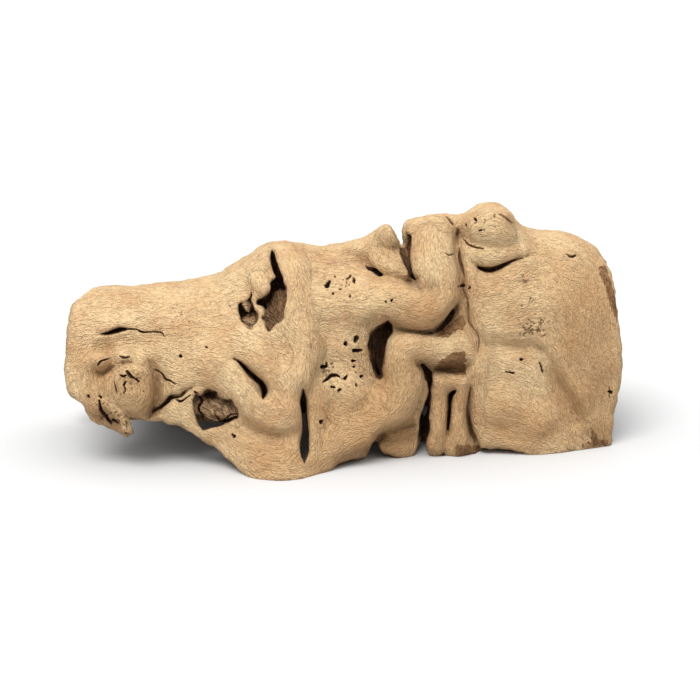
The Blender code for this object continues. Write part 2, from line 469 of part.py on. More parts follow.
def from_board(u, v, y):
    """The point drawn at u, v that lies at depth y."""
    mark = np.array(BOARD_MIDDLE) + u * BOARD_RIGHT + v * BOARD_UP
    line = mark - BOARD_EYE
    return BOARD_EYE + line * (y - BOARD_EYE[1]) / line[1]


def land(route, side, lift):
    """First points, lift mm off the body, that the marks of a route meet from their side."""
    route = np.asarray(route, dtype=float)
    if side == "front":
        mark = (np.array(BOARD_MIDDLE) + route[:, :1] * BOARD_RIGHT + route[:, 1:2] * BOARD_UP)
        line = mark - BOARD_EYE
        line /= np.linalg.norm(line, axis=1, keepdims=True)
        start = mark - 110 * line
    else:
        start = np.stack([route[:, 0], np.full(len(route), 110.0), route[:, 1]], axis=1)
        line = np.tile((0.0, -1.0, 0.0), (len(route), 1))
    steps = np.arange(0.0, 220.0, 0.5)
    p = start[:, None, :] + line[:, None, :] * steps[None, :, None]
    gap = body_distance(p[..., 0], p[..., 1], p[..., 2]) - np.asarray(lift)[:, None]
    hit = np.where((gap < 0).any(axis=1), np.argmax(gap < 0, axis=1), np.argmin(gap, axis=1))
    return p[np.arange(len(p)), hit]


class Block:
    """A box of evenly spaced samples, with the distance field of the wood in it."""

    def __init__(self, low, high, step):
        self.low = np.array(low, dtype=float)
        self.step = step
        self.count = [int(round((b - a) / step)) + 1 for a, b in zip(low, high)]
        self.x = (self.low[0] + step * np.arange(self.count[0]))[:, None, None]
        self.y = (self.low[1] + step * np.arange(self.count[1]))[None, :, None]
        self.z = (self.low[2] + step * np.arange(self.count[2]))[None, None, :]

    def part(self, low, high):
        """Slices and coordinates of the samples between two corners."""
        cut = []
        for axis in range(3):
            first = int(math.floor((low[axis] - self.low[axis]) / self.step))
            last = int(math.ceil((high[axis] - self.low[axis]) / self.step)) + 1
            cut.append(slice(max(first, 0), max(min(last, self.count[axis]), 0)))
        cut = tuple(cut)
        return cut, self.x[cut[0]], self.y[:, cut[1]], self.z[:, :, cut[2]]


def smooth_low(a, b, blend):
    h = np.maximum(blend - np.abs(a - b), 0)
    return np.minimum(a, b) - h * h / (4 * blend)


def smooth_high(a, b, blend):
    return -smooth_low(-a, -b, blend)


def fold_beads(route, side):
    """Centres and radii of the round beads that make a fold."""
    fine = smooth_curve(route, 5) if len(route) > 1 else np.asarray(route, dtype=float)
    half = np.maximum(fine[:, 2], 0.5)
    rise = np.maximum(fine[:, 3], 0.1)
    radius = np.where(rise < half, (half ** 2 + rise ** 2) / (2 * rise), half)
    radius = np.minimum(radius, WIDEST_FOLD)
    top = land(fine, side, rise)
    return top - body_normal(top) * radius[:, None], radius


def add_beads(block, field, centre, radius, reach):
    """Joins a chain of round-ended beads to a field that starts out empty."""
    ends = [(i, min(i + 1, len(centre) - 1)) for i in range(max(len(centre) - 1, 1))]
    for i, j in ends:
        a, b = centre[i], centre[j]
        ra, rb = radius[i], radius[j]
        big = max(ra, rb) + reach
        cut, x, y, z = block.part(np.minimum(a, b) - big, np.maximum(a, b) + big)
        if min(x.size, y.size, z.size) == 0:
            continue
        ab = b - a
        span = max(float(ab @ ab), 1e-9)
        t = np.clip(((x - a[0]) * ab[0] + (y - a[1]) * ab[1] + (z - a[2]) * ab[2]) / span, 0, 1)
        away = np.sqrt((x - a[0] - t * ab[0]) ** 2 + (y - a[1] - t * ab[1]) ** 2
                       + (z - a[2] - t * ab[2]) ** 2) - (ra + t * (rb - ra))
        field[cut] = np.minimum(field[cut], away)


def fold_field(block, boards, blend, reach=8.0):
    """All folds together; each is made whole, then they are blended a little."""
    total = np.full(block.count, 99.0, dtype=np.float32)
    for side, folds in boards:
        for route in folds.values():
            centre, radius = fold_beads(route, side)
            low = (centre - radius[:, None]).min(axis=0) - reach
            high = (centre + radius[:, None]).max(axis=0) + reach
            cut, x, y, z = block.part(low, high)
            if min(x.size, y.size, z.size) == 0:
                continue
            own = Block(block.low + block.step * np.array([c.start for c in cut]),
                        block.low + block.step * np.array([c.stop - 1 for c in cut]), block.step)
            field = np.full(own.count, 99.0, dtype=np.float32)
            add_beads(own, field, centre, radius, reach)
            total[cut] = smooth_low(total[cut], field, blend)
    return total


def outline_distance(outline, u, v):
    """Signed distance to a closed outline on the board, negative inside it."""
    corner = np.asarray(outline, dtype=float)
    best = np.full(np.broadcast(u, v).shape, 1e9)
    inside = np.zeros(best.shape, dtype=bool)
    for (ax, ay), (bx, by) in zip(corner, np.roll(corner, -1, axis=0)):
        ex, ey = bx - ax, by - ay
        t = np.clip(((u - ax) * ex + (v - ay) * ey) / (ex * ex + ey * ey + 1e-12), 0, 1)
        best = np.minimum(best, (u - ax - t * ex) ** 2 + (v - ay - t * ey) ** 2)
        if ay != by:
            crosses = ((ay > v) != (by > v)) & (u < ex * (v - ay) / ey + ax)
            inside ^= crosses
    return np.where(inside, -1.0, 1.0) * np.sqrt(best)


def stroke_distance(marks, u, v, narrow):
    """Distance to a pen stroke whose half width is multiplied by narrow."""
    pen = smooth_curve(marks, 4)
    best = np.full(np.broadcast(u, v, narrow).shape, 99.0)
    for a, b in zip(pen[:-1], pen[1:]):
        ex, ey = b[0] - a[0], b[1] - a[1]
        t = np.clip(((u - a[0]) * ex + (v - a[1]) * ey) / (ex * ex + ey * ey + 1e-12), 0, 1)
        away = np.hypot(u - a[0] - t * ex, v - a[1] - t * ey)
        best = np.minimum(best, away - np.maximum(a[2] + t * (b[2] - a[2]), 0) * narrow)
    return best


def paint(reliefs, creases, u_line, v_line):
    """Height of all the relief drawn on a board, as a map over its two directions."""
    total = np.zeros((len(u_line), len(v_line)))
    for strokes, crease in ((reliefs, False), (creases, True)):
        for marks in strokes.values():
            pen = smooth_curve(marks, 4) if len(marks) > 1 else np.array(marks * 2, dtype=float)
            wide = pen[:, 2].max() * (1.0 if crease else 1.6)
            iu = np.nonzero((u_line > pen[:, 0].min() - wide) & (u_line < pen[:, 0].max() + wide))[0]
            iv = np.nonzero((v_line > pen[:, 1].min() - wide) & (v_line < pen[:, 1].max() + wide))[0]
            cut = np.ix_(iu, iv)
            u, v = u_line[iu][:, None], v_line[iv][None, :]
            best = np.zeros((len(iu), len(iv)))
            for a, b in zip(pen[:-1], pen[1:]):
                ex, ey = b[0] - a[0], b[1] - a[1]
                t = np.clip(((u - a[0]) * ex + (v - a[1]) * ey) / (ex * ex + ey * ey + 1e-9), 0, 1)
                away = np.hypot(u - a[0] - t * ex, v - a[1] - t * ey)
                half = a[2] + t * (b[2] - a[2])
                high = a[3] + t * (b[3] - a[3])
                if crease:
                    best = np.minimum(best, -high * np.clip(1 - away / half, 0, 1) ** 1.6)
                else:
                    bell = high * np.clip(1 - (away / (1.6 * half)) ** 2, 0, 1) ** 2
                    best = np.where(np.abs(bell) > np.abs(best), bell, best)
            total[cut] += best
    return total


def look_up(table, u_line, v_line, u, v):
    """Reads a drawn map at any place on its board."""
    step = u_line[1] - u_line[0]
    fu = np.clip((u - u_line[0]) / step, 0, len(u_line) - 1.001)
    fv = np.clip((v - v_line[0]) / step, 0, len(v_line) - 1.001)
    iu, iv = fu.astype(np.int32), fv.astype(np.int32)
    fu, fv = fu - iu, fv - iv
    return ((table[iu, iv] * (1 - fu) + table[iu + 1, iv] * fu) * (1 - fv)
            + (table[iu, iv + 1] * (1 - fu) + table[iu + 1, iv + 1] * fu) * fv)


def read_relief(block, front, front_lines, back=None, back_lines=None):
    """Spreads maps drawn for the front and the back through the block, as rows along x."""
    rows = []
    for i in range(block.count[0]):
        x = block.x[i:i + 1]
        u, v = on_board(x, block.y, block.z)
        crest = station(3, x)
        height = look_up(front, *front_lines, u, v) * np.clip((crest + 14 - block.y) / 14, 0, 1)
        if back is not None:
            behind = look_up(back, *back_lines, x + 0 * block.z, block.z + 0 * x)
            height = height + behind * np.clip((block.y - crest - 6) / 14, 0, 1)
        rows.append(height.astype(np.float32))
    return np.concatenate(rows)


def board_box(marks, margin, near, far):
    """Corners of the box that holds everything drawn near some marks between two depths."""
    marks = np.asarray(marks, dtype=float)
    corners = []
    for y in (near, far):
        for u in (marks[:, 0].min() - margin, marks[:, 0].max() + margin):
            for v in (marks[:, 1].min() - margin, marks[:, 1].max() + margin):
                corners.append(from_board(u, v, y))
    corners = np.array(corners)
    return corners.min(axis=0), corners.max(axis=0)


def ragged(x, y, z, size):
    """Gentle unevenness between -1 and 1 whose lumps are about size mm across."""
    rng = np.random.default_rng(7)
    total = 0
    for _ in range(5):
        a = rng.normal(size=3)
        a *= rng.uniform(0.7, 1.5) * 2 * math.pi / (1.6 * size) / np.linalg.norm(a)
        total = total + np.sin(x * a[0] + y * a[1] + z * a[2] + rng.uniform(0, 6.3))
    return total / 3.2


def carve_front(block, field, skin, narrowest):
    """Opens the holes, slits and worm holes drawn on the front board."""
    for outline, deep, rim in FRONT_HOLES.values():
        low, high = board_box(outline, 6, -90, 10)
        high[1] = -6
        cut, x, y, z = block.part(low, high)
        u, v = on_board(x, y, z)
        away = outline_distance(outline, u, v) + 0.35 * ragged(x, y, z, 4)
        if deep:
            away = smooth_high(away, -skin[cut] - deep, 3)
        field[cut] = smooth_high(field[cut], -away, rim)
    for marks, deep in FRONT_SLITS.values():
        widest = max(m[2] for m in marks)
        if widest < narrowest:
            continue
        low, high = board_box([m[:2] for m in marks], 5, -90, 10)
        high[1] = -6 if deep == 0 or deep > 8 else 30
        cut, x, y, z = block.part(low, high)
        u, v = on_board(x, y, z)
        depth = np.maximum(-skin[cut], 0)
        if deep:
            narrow = 1 - 0.75 * np.clip(depth / deep, 0, 1) ** 1.5
            away = smooth_high(stroke_distance(marks, u, v, narrow), depth - deep, 1.0)
        else:
            away = stroke_distance(marks, u, v, np.ones_like(depth))
        field[cut] = smooth_high(field[cut], -away, min(1.2, 0.5 + widest * 0.5))
    for u0, v0, radius, deep in PORES:
        if radius < narrowest:
            continue
        low, high = board_box([(u0, v0)], radius + 3, -90, 10)
        cut, x, y, z = block.part(low, high)
        u, v = on_board(x, y, z)
        depth = np.maximum(-skin[cut], 0)
        away = smooth_high(np.hypot(u - u0, v - v0) - radius, depth - deep, 0.8)
        field[cut] = smooth_high(field[cut], -away, 0.6)


def carve_back(block, field, skin, narrowest):
    """Opens the slits of the back, which are drawn straight from behind."""
    for marks, deep in BACK_SLITS.values():
        if max(m[2] for m in marks) < narrowest:
            continue
        spots = np.array(marks)
        cut, x, y, z = block.part((spots[:, 0].min() - 5, 8, spots[:, 1].min() - 5),
                                  (spots[:, 0].max() + 5, 80, spots[:, 1].max() + 5))
        depth = np.maximum(-skin[cut], 0)
        narrow = 1 - 0.6 * np.clip(depth / (deep or 20), 0, 1)
        away = stroke_distance(marks, x + 0 * z, z + 0 * x, narrow)
        if deep:
            away = smooth_high(away, depth - deep, 1.0)
        field[cut] = smooth_high(field[cut], -away, 1.2)


def add_hole_wood(block, field):
    """Knots and tongues of wood that are left inside the holes."""
    for route in HOLE_WOOD.values():
        fine = smooth_curve(route, 4)
        foot = land(fine, "front", np.zeros(len(fine)))
        line = foot - BOARD_EYE
        line /= np.linalg.norm(line, axis=1, keepdims=True)
        centre = foot + line * (fine[:, 2] + fine[:, 3])[:, None]
        low = (centre - fine[:, 3:4]).min(axis=0) - 6
        high = (centre + fine[:, 3:4]).max(axis=0) + 6
        cut, x, y, z = block.part(low, high)
        own = Block(block.low + block.step * np.array([c.start for c in cut]),
                    block.low + block.step * np.array([c.stop - 1 for c in cut]), block.step)
        lump = np.full(own.count, 99.0, dtype=np.float32)
        add_beads(own, lump, centre, fine[:, 3], 6)
        field[cut] = smooth_low(field[cut], lump, 2.0)


def wood_field(step, narrowest):
    """The whole piece of wood as a distance field, with its skin before it was opened."""
    block = Block((-149, -86, -3 * step), (142, 72, 124), step)
    x, y, z = block.x, block.y, block.z
    front_lines = (np.arange(-165, 165, 0.5), np.arange(-95, 95, 0.5))
    back_lines = (np.arange(-160, 160, 0.5), np.arange(-10, 130, 0.5))
    body = body_distance(x, y, z).astype(np.float32)
    folds = fold_field(block, (("front", FRONT_FOLDS), ("back", BACK_FOLDS)), 1.6)
    skin = smooth_low(body, folds, 4.0)
    skin -= read_relief(block, paint(FRONT_RELIEF, FRONT_CREASES, *front_lines), front_lines,
                        paint(BACK_RELIEF, BACK_CREASES, *back_lines), back_lines)
    skin += (0.7 * ragged(x, y, z, 22) + 0.45 * ragged(y + 31, z, x, 11)).astype(np.float32)
    side = SIDE_WALL + (TOP_WALL - SIDE_WALL) * np.clip(z / station(5, x), 0, 1) ** 2
    side = side + read_relief(block, paint(WALL_SWELLS, {}, *front_lines), front_lines)
    hollow = body + side + 1.6 * ragged(x * 0.4, y, z, 16) + 0.5 * ragged(x * 0.3, z, y, 6)
    field = smooth_high(skin, -hollow, 3.0).astype(np.float32)
    del body, hollow, folds
    carve_front(block, field, skin, narrowest)
    carve_back(block, field, skin, narrowest)
    add_hole_wood(block, field)
    trim_outline(block, field)
    return block, field, skin


def trim_outline(block, field):
    """Cuts the two broken ends, the crest line and the lower edges of both walls."""
    x, y, z = block.x, block.y, block.z
    u_line = np.arange(-165, 165, 0.5)
    v_line = np.arange(-95, 95, 0.5)
    uu, vv = np.meshgrid(u_line, v_line, indexing="ij")
    frame = LEFT_END + TOP_EDGE + RIGHT_END + ((130, -140), (-108, -140))
    hem = ((-170, 120), (170, 120), (170, -52)) + FRONT_HEM + ((-170, -44),)
    around = outline_distance(frame, uu, vv)
    below = outline_distance(hem, uu, vv)
    hem_curve = smooth_curve(BACK_HEM, 8)
    back_hem = np.interp(block.x, hem_curve[:, 0], hem_curve[:, 1])
    for i in range(block.count[0]):
        u, v = on_board(x[i:i + 1], y, z)
        uneven = 0.3 * ragged(x[i:i + 1], y, z, 3.2)
        row = field[i:i + 1]
        row = smooth_high(row, look_up(around, u_line, v_line, u, v) + uneven, 2.4)
        low_front = smooth_high(row, look_up(below, u_line, v_line, u, v) + uneven, 1.6)
        low_back = smooth_high(row, back_hem[i] - z + uneven * 2, 2.0)
        row = np.where(y < 0, low_front, low_back)
        far_end = 131.5 + 1.5 * np.sin(z / 17) - np.clip(z - 80, 0, 99) * 0.25
        row = smooth_high(row, x[i:i + 1] - far_end + uneven, 2.4)
        field[i:i + 1] = row


def close_pinches(field):
    """Fills the few samples where two corners of wood would touch without joining."""
    for _ in range(12):
        wood = field < 0
        fixed = 0
        for axis in range(3):
            w = np.moveaxis(wood, axis, 2)
            f = np.moveaxis(field, axis, 2)
            a, b = w[:-1, :-1], w[1:, :-1]
            c, d = w[:-1, 1:], w[1:, 1:]
            bad = np.argwhere((a == d) & (b == c) & (a != b))
            fixed += len(bad)
            for di in (0, 1):
                for dj in (0, 1):
                    spot = (bad[:, 0] + di, bad[:, 1] + dj, bad[:, 2])
                    f[spot] = np.minimum(f[spot], -0.02)
        wood = field < 0
        corners = [wood[i:wood.shape[0] - 1 + i, j:wood.shape[1] - 1 + j, k:wood.shape[2] - 1 + k]
                   for i in (0, 1) for j in (0, 1) for k in (0, 1)]
        count = sum(c.astype(np.uint8) for c in corners)
        for i in range(4):
            same = corners[i] == corners[7 - i]
            bad = np.argwhere(same & ((corners[i] & (count == 2)) | (~corners[i] & (count == 6))))
            fixed += len(bad)
            for di in (0, 1):
                for dj in (0, 1):
                    for dk in (0, 1):
                        spot = (bad[:, 0] + di, bad[:, 1] + dj, bad[:, 2] + dk)
                        field[spot] = np.minimum(field[spot], -0.02)
        if not fixed:
            break


def skin_net(block, field):
    """Vertices and faces of the surface where the field changes sign."""
    field[0], field[-1] = np.maximum(field[0], 0.5), np.maximum(field[-1], 0.5)
    field[:, 0], field[:, -1] = np.maximum(field[:, 0], 0.5), np.maximum(field[:, -1], 0.5)
    field[:, :, 0] = np.maximum(field[:, :, 0], 0.5)
    field[:, :, -1] = np.maximum(field[:, :, -1], 0.5)
    close_pinches(field)
    wood = field < 0
    count = np.zeros([n - 1 for n in field.shape], dtype=np.uint8)
    for i in (0, 1):
        for j in (0, 1):
            for k in (0, 1):
                count += wood[i:wood.shape[0] - 1 + i, j:wood.shape[1] - 1 + j,
                              k:wood.shape[2] - 1 + k]
    cells = np.argwhere((count > 0) & (count < 8))
    number = np.full(count.shape, -1, dtype=np.int32)
    number[tuple(cells.T)] = np.arange(len(cells))
    total = np.zeros((len(cells), 3))
    crossings = np.zeros(len(cells))
    corner = {}
    for i in (0, 1):
        for j in (0, 1):
            for k in (0, 1):
                corner[i, j, k] = field[cells[:, 0] + i, cells[:, 1] + j, cells[:, 2] + k]
    for start in corner:
        for axis in range(3):
            if start[axis]:
                continue
            end = tuple(1 if n == axis else s for n, s in enumerate(start))
            a, b = corner[start], corner[end]
            crossed = (a < 0) != (b < 0)
            t = np.where(crossed, a / np.where(crossed, a - b, 1), 0)
            place = np.tile(np.array(start, dtype=float), (len(cells), 1))
            place[:, axis] += t
            total += np.where(crossed[:, None], place, 0)
            crossings += crossed
    points = block.low + block.step * (cells + total / crossings[:, None])
    quads = []
    for axis in range(3):
        other = [n for n in range(3) if n != axis]
        ahead = np.moveaxis(wood, (axis, *other), (0, 1, 2))
        ids = np.moveaxis(number, (axis, *other), (0, 1, 2))
        a, b = ahead[:-1, 1:-1, 1:-1], ahead[1:, 1:-1, 1:-1]
        for inward, mask in ((False, a & ~b), (True, ~a & b)):
            i, j, k = np.nonzero(mask)
            ring = [ids[i, j, k], ids[i, j + 1, k], ids[i, j + 1, k + 1], ids[i, j, k + 1]]
            if inward != (axis == 1):
                ring.reverse()
            quads.append(np.stack(ring, axis=1))
    return points, np.vstack(quads)


def biggest_piece(points, quads):
    """Keeps the one connected body of wood and drops stray crumbs."""
    edges = np.vstack([quads[:, [0, 1]], quads[:, [1, 2]], quads[:, [2, 3]], quads[:, [3, 0]]])
    label = np.arange(len(points))
    while True:
        low = np.minimum(label[edges[:, 0]], label[edges[:, 1]])
        new = label.copy()
        np.minimum.at(new, edges[:, 0], low)
        np.minimum.at(new, edges[:, 1], low)
        new = new[new]
        if (new == label).all():
            break
        label = new
    names, sizes = np.unique(label, return_counts=True)
    keep = label == names[np.argmax(sizes)]
    renumber = np.cumsum(keep) - 1
    return points[keep], renumber[quads[keep[quads[:, 0]]]]


def wood_material():
    wood = bpy.data.materials.new("sandblasted wood")
    wood.use_nodes = True
    wood.diffuse_color = (*WOOD_COLOUR, 1.0)
    finish = wood.node_tree.nodes["Principled BSDF"]
    finish.inputs["Base Color"].default_value = (*WOOD_COLOUR, 1.0)
    finish.inputs["Roughness"].default_value = WOOD_ROUGHNESS
    finish.inputs["Metallic"].default_value = 0.0
    return wood


def mesh_object(name, points, faces):
    mesh = bpy.data.meshes.new(name)
    mesh.from_pydata((points * MM).tolist(), [], faces.tolist())
    thing = bpy.data.objects.new(name, mesh)
    bpy.context.collection.objects.link(thing)
    return thing


def use_modifiers(thing):
    seen = thing.evaluated_get(bpy.context.evaluated_depsgraph_get())
    mesh = bpy.data.meshes.new_from_object(seen)
    thing.modifiers.clear()
    thing.data = mesh


def thin_out(thing, faces_wanted):
    """Leaves fewer, larger triangles where the wood is smooth."""
    thing.data.update()
    triangles = sum(len(face.vertices) - 2 for face in thing.data.polygons)
    thin = thing.modifiers.new("thin out", "DECIMATE")
    thin.ratio = faces_wanted / triangles
    use_modifiers(thing)


def stand_on_floor(thing):
    """Saws the lower edges level, so that the wood rests on flat feet at z = 0."""
    bm = bmesh.new()
    bm.from_mesh(thing.data)
    everything = bm.verts[:] + bm.edges[:] + bm.faces[:]
    bmesh.ops.bisect_plane(bm, geom=everything, dist=0.25 * MM, plane_co=(0, 0, 0),
                           plane_no=(0, 0, -1), clear_outer=True, use_snap_center=True)
    rim = [e for e in bm.edges if e.is_boundary]
    bmesh.ops.triangle_fill(bm, edges=rim, use_beauty=True, normal=(0, 0, -1))
    bmesh.ops.triangulate(bm, faces=bm.faces[:])
    bmesh.ops.recalc_face_normals(bm, faces=bm.faces[:])
    bm.to_mesh(thing.data)
    bm.free()


def centre_on_origin(thing):
    """Moves the wood so that the middle of its bounding box stands over the origin."""
    spots = np.array([v.co for v in thing.data.vertices])
    middle = (spots.min(axis=0) + spots.max(axis=0)) / 2
    for v in thing.data.vertices:
        v.co.x -= middle[0]
        v.co.y -= middle[1]
    return middle / MM


block, field = wood_field(SAMPLE_STEP, SAMPLE_STEP * 0.45)[:2]
points, quads = skin_net(block, field)
points, quads = biggest_piece(points, quads)
tunnel = mesh_object("grapevine_tunnel", points, quads)
thin_out(tunnel, FACES_WANTED)
stand_on_floor(tunnel)
shift = centre_on_origin(tunnel)
tunnel.data.materials.append(wood_material())
for face in tunnel.data.polygons:
    face.use_smooth = True
print("grapevine tunnel:", len(tunnel.data.vertices), "points,", len(tunnel.data.polygons),
      "triangles, size in mm", [round(s / MM, 1) for s in tunnel.dimensions],
      "moved by", [round(float(s), 2) for s in shift])
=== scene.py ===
# %% [markdown]
# # A grapevine tunnel
# The real object is one hollow length of old grapevine trunk. The core has rotted out, the bark is
# gone, and the rest was blasted clean with sand. It stands on its lower edges like an arch, and
# small animals use it as a hide. This lesson dresses its solid model in Blender: a finer body of
# the same wood, the grain, the colour, then floor, light and camera.

# %% Start from the solid model
import math

import bmesh
import bpy
import numpy as np
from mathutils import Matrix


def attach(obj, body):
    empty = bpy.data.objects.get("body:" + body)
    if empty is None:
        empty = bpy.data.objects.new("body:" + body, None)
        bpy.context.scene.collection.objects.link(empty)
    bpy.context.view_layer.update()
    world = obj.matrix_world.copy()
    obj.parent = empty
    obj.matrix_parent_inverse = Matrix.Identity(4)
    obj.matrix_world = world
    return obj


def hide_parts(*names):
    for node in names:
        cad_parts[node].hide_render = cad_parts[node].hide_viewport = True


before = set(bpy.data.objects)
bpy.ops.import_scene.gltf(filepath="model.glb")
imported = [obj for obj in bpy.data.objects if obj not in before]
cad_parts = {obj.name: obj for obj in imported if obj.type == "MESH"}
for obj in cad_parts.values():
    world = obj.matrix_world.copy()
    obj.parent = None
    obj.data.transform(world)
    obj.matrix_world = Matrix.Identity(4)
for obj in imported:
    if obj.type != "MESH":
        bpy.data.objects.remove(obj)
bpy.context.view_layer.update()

# %% [markdown]
# ## Camera
# The camera comes first, because every later look is judged through it. A product photo like this
# is taken from about a metre away with a long lens, so that near and far parts keep their size.
# Here it stands 8 degrees to the left of the front and 15 degrees above the floor.
# All sizes are in millimetres, and the wood is centred on the origin when it is finished.

# %% Where the viewer stands
MM = 0.001
# Drawing board of the front: it faces a viewer 1 m away, a little to the left and above.
# Marks on it are u to the right and v upward from its middle, in mm.
BOARD_REACH = 1000.0
BOARD_WIDTH = 350.0
BOARD_TURN = math.radians(-8)
BOARD_LIFT = math.radians(15)
BOARD_MIDDLE = (0.0, 0.0, 43.3)
BOARD_BACK = np.array((math.sin(BOARD_TURN) * math.cos(BOARD_LIFT),
                       -math.cos(BOARD_TURN) * math.cos(BOARD_LIFT), math.sin(BOARD_LIFT)))
BOARD_RIGHT = np.array((math.cos(BOARD_TURN), math.sin(BOARD_TURN), 0.0))
BOARD_UP = np.cross(BOARD_BACK, BOARD_RIGHT)
BOARD_EYE = np.array(BOARD_MIDDLE) + BOARD_BACK * BOARD_REACH
# Moves the finished wood so that its box is centred on the origin.
CENTRE_SHIFT = np.array((4.15, 6.86, 0.0))
SENSOR_WIDTH = 36


def new_object(name, data):
    """An object for some data, put into the scene."""
    thing = bpy.data.objects.new(name, data)
    bpy.context.collection.objects.link(thing)
    return thing


camera = new_object("camera", bpy.data.cameras.new("camera"))
bpy.context.scene.camera = camera
camera.location = (BOARD_EYE + CENTRE_SHIFT) * MM
camera.rotation_euler = (math.pi / 2 - BOARD_LIFT, 0, BOARD_TURN)
camera.data.sensor_width = SENSOR_WIDTH
camera.data.lens = SENSOR_WIDTH * BOARD_REACH / BOARD_WIDTH
print("camera at", [round(c, 3) for c in camera.location], "lens", round(camera.data.lens, 1), "mm")

# %% [markdown]
# ## The plain arch
# A trunk like this could be sculpted by hand, but then nobody could repeat or change it. It is
# described by numbers instead: a table of stations along the trunk gives the front wall, the crest
# and the back wall. Between them the section is a superellipse, a curve between an oval and a box.

# %% Stations along the trunk
# One row for each place along the trunk, in mm: x, y of the front wall at the floor, spread of
# the front foot, y of the crest line, y of the back wall, height of the crest.
STATIONS = (
    (-150, -37, 0, 4, 38, 75),
    (-135, -39, 0, 4, 40, 78.5),
    (-118, -42, 0, 4, 43, 80.5),
    (-95, -43, 0, 4, 46, 80),
    (-76, -45, 4, 4, 48, 82),
    (-62, -49, 10, 4, 49, 85.5),
    (-48, -52, 15, 4, 50, 95),
    (-34, -53, 14, 4, 50, 99),
    (-15, -49, 8, 5, 50, 96),
    (5, -45, 3, 5, 50, 97.5),
    (22, -42, 1, 5, 50, 105.5),
    (40, -42, 1, 5, 50, 109),
    (60, -43, 1, 5, 51, 112),
    (75, -44, 1, 5, 52, 116),
    (90, -45, 1, 5, 52, 104),
    (108, -43, 1, 5, 51, 100.5),
    (124, -39, 1, 5, 48, 92),
    (145, -35, 1, 5, 44, 82),
)
FRONT_WALL, FOOT_SPREAD, CREST, BACK_WALL, CREST_HEIGHT = range(1, 6)
# The front foot spreads below this height.
FOOT_TOP = 42.0
# Powers of the superellipse: 2 is an oval, and higher ones are squarer.
FRONT_SQUARENESS = 2.6
BACK_SQUARENESS = 2.4
# Thickness from the plain body to the hollow, at the floor and at the crest.
SIDE_WALL = 10.5
TOP_WALL = 12.5
# Largest radius of a bead in a fold.
WIDEST_FOLD = 16.0


def smooth_curve(points, per_span=6):
    """A smooth curve through every row of points, whatever its columns hold."""
    p = np.asarray(points, dtype=float)
    if len(p) < 2:
        return p
    ends = np.vstack([2 * p[0] - p[1], p, 2 * p[-1] - p[-2]])
    t = np.linspace(0, 1, per_span, endpoint=False)[:, None]
    rows = []
    for a, b, c, d in zip(ends[:-3], ends[1:-2], ends[2:-1], ends[3:]):
        rows.append(0.5 * (2 * b + (c - a) * t + (2 * a - 5 * b + 4 * c - d) * t ** 2
                           + (3 * b - a - 3 * c + d) * t ** 3))
    return np.vstack(rows + [p[-1:]])


STATION_CURVES = smooth_curve(STATIONS, 12)


def station(column, x):
    """Value of one column of the stations at any x."""
    return np.interp(x, STATION_CURVES[:, 0], STATION_CURVES[:, column])


print(len(STATIONS), "stations, x from", STATIONS[0][0], "to", STATIONS[-1][0], "mm")

# %% [markdown]
# ## Wood as a distance field
# The body is kept as a field: a number at each point of space that says how far outside the wood
# it lies. Two fields are joined by taking the lower value and cut by taking the higher one, and a
# rounded lower or higher value gives the soft joints that grown wood has.

# %% Field of the plain body
# Stands for a distance longer than any between the wood and the edge of a block.
FAR = 99.0


def body_distance(x, y, z):
    """Distance outside the plain arched body in mm, negative inside it."""
    crest = station(CREST, x)
    height = station(CREST_HEIGHT, x)
    spread = station(FOOT_SPREAD, x) * np.clip(1 - z / FOOT_TOP, 0, 1) ** 2
    front = crest - station(FRONT_WALL, x) + spread
    back = station(BACK_WALL, x) - crest
    is_front = y < crest
    reach = np.where(is_front, front, back)
    power = np.where(is_front, FRONT_SQUARENESS, BACK_SQUARENESS)
    across = np.maximum(np.abs(y - crest) / reach, 1e-4)
    up = np.maximum(z, 0) / height + 1e-4
    whole = across ** power + up ** power
    level = whole ** (1 / power)
    slope = level ** (1 - power) * np.sqrt((across ** (power - 1) / reach) ** 2
                                           + (up ** (power - 1) / height) ** 2)
    return (level - 1) / slope


def body_normal(p):
    """Unit vectors pointing straight out of the plain body at some points."""
    slope = [body_distance(*(p + step).T) - body_distance(*(p - step).T) for step in 0.5 * np.eye(3)]
    normal = np.array(slope).T
    return normal / np.linalg.norm(normal, axis=1, keepdims=True)


class Block:
    """A box of evenly spaced samples: its low corner, its counts and its coordinates."""

    def __init__(self, low, high, step):
        self.low = np.array(low, dtype=float)
        self.step = step
        self.count = [int(round((b - a) / step)) + 1 for a, b in zip(low, high)]
        self.x = (self.low[0] + step * np.arange(self.count[0]))[:, None, None]
        self.y = (self.low[1] + step * np.arange(self.count[1]))[None, :, None]
        self.z = (self.low[2] + step * np.arange(self.count[2]))[None, None, :]

    def part(self, low, high):
        """Slices and coordinates of the samples between two corners."""
        cut = []
        for axis in range(3):
            first = int(math.floor((low[axis] - self.low[axis]) / self.step))
            last = int(math.ceil((high[axis] - self.low[axis]) / self.step)) + 1
            cut.append(slice(max(first, 0), max(min(last, self.count[axis]), 0)))
        cut = tuple(cut)
        return cut, self.x[cut[0]], self.y[:, cut[1]], self.z[:, :, cut[2]]


def smooth_low(a, b, blend):
    """The lower of two fields, rounded where they are less than blend apart."""
    h = np.maximum(blend - np.abs(a - b), 0)
    return np.minimum(a, b) - h * h / (4 * blend)


def smooth_high(a, b, blend):
    """The higher of two fields, rounded in the same way."""
    return -smooth_low(-a, -b, blend)

# %% [markdown]
# ## A drawing board in front of the wood
# Folds, holes and cracks are placed by drawing them on a board that faces the viewer, with u to the
# right and v upward in millimetres. A drawn mark then lands on the body along the line of sight.

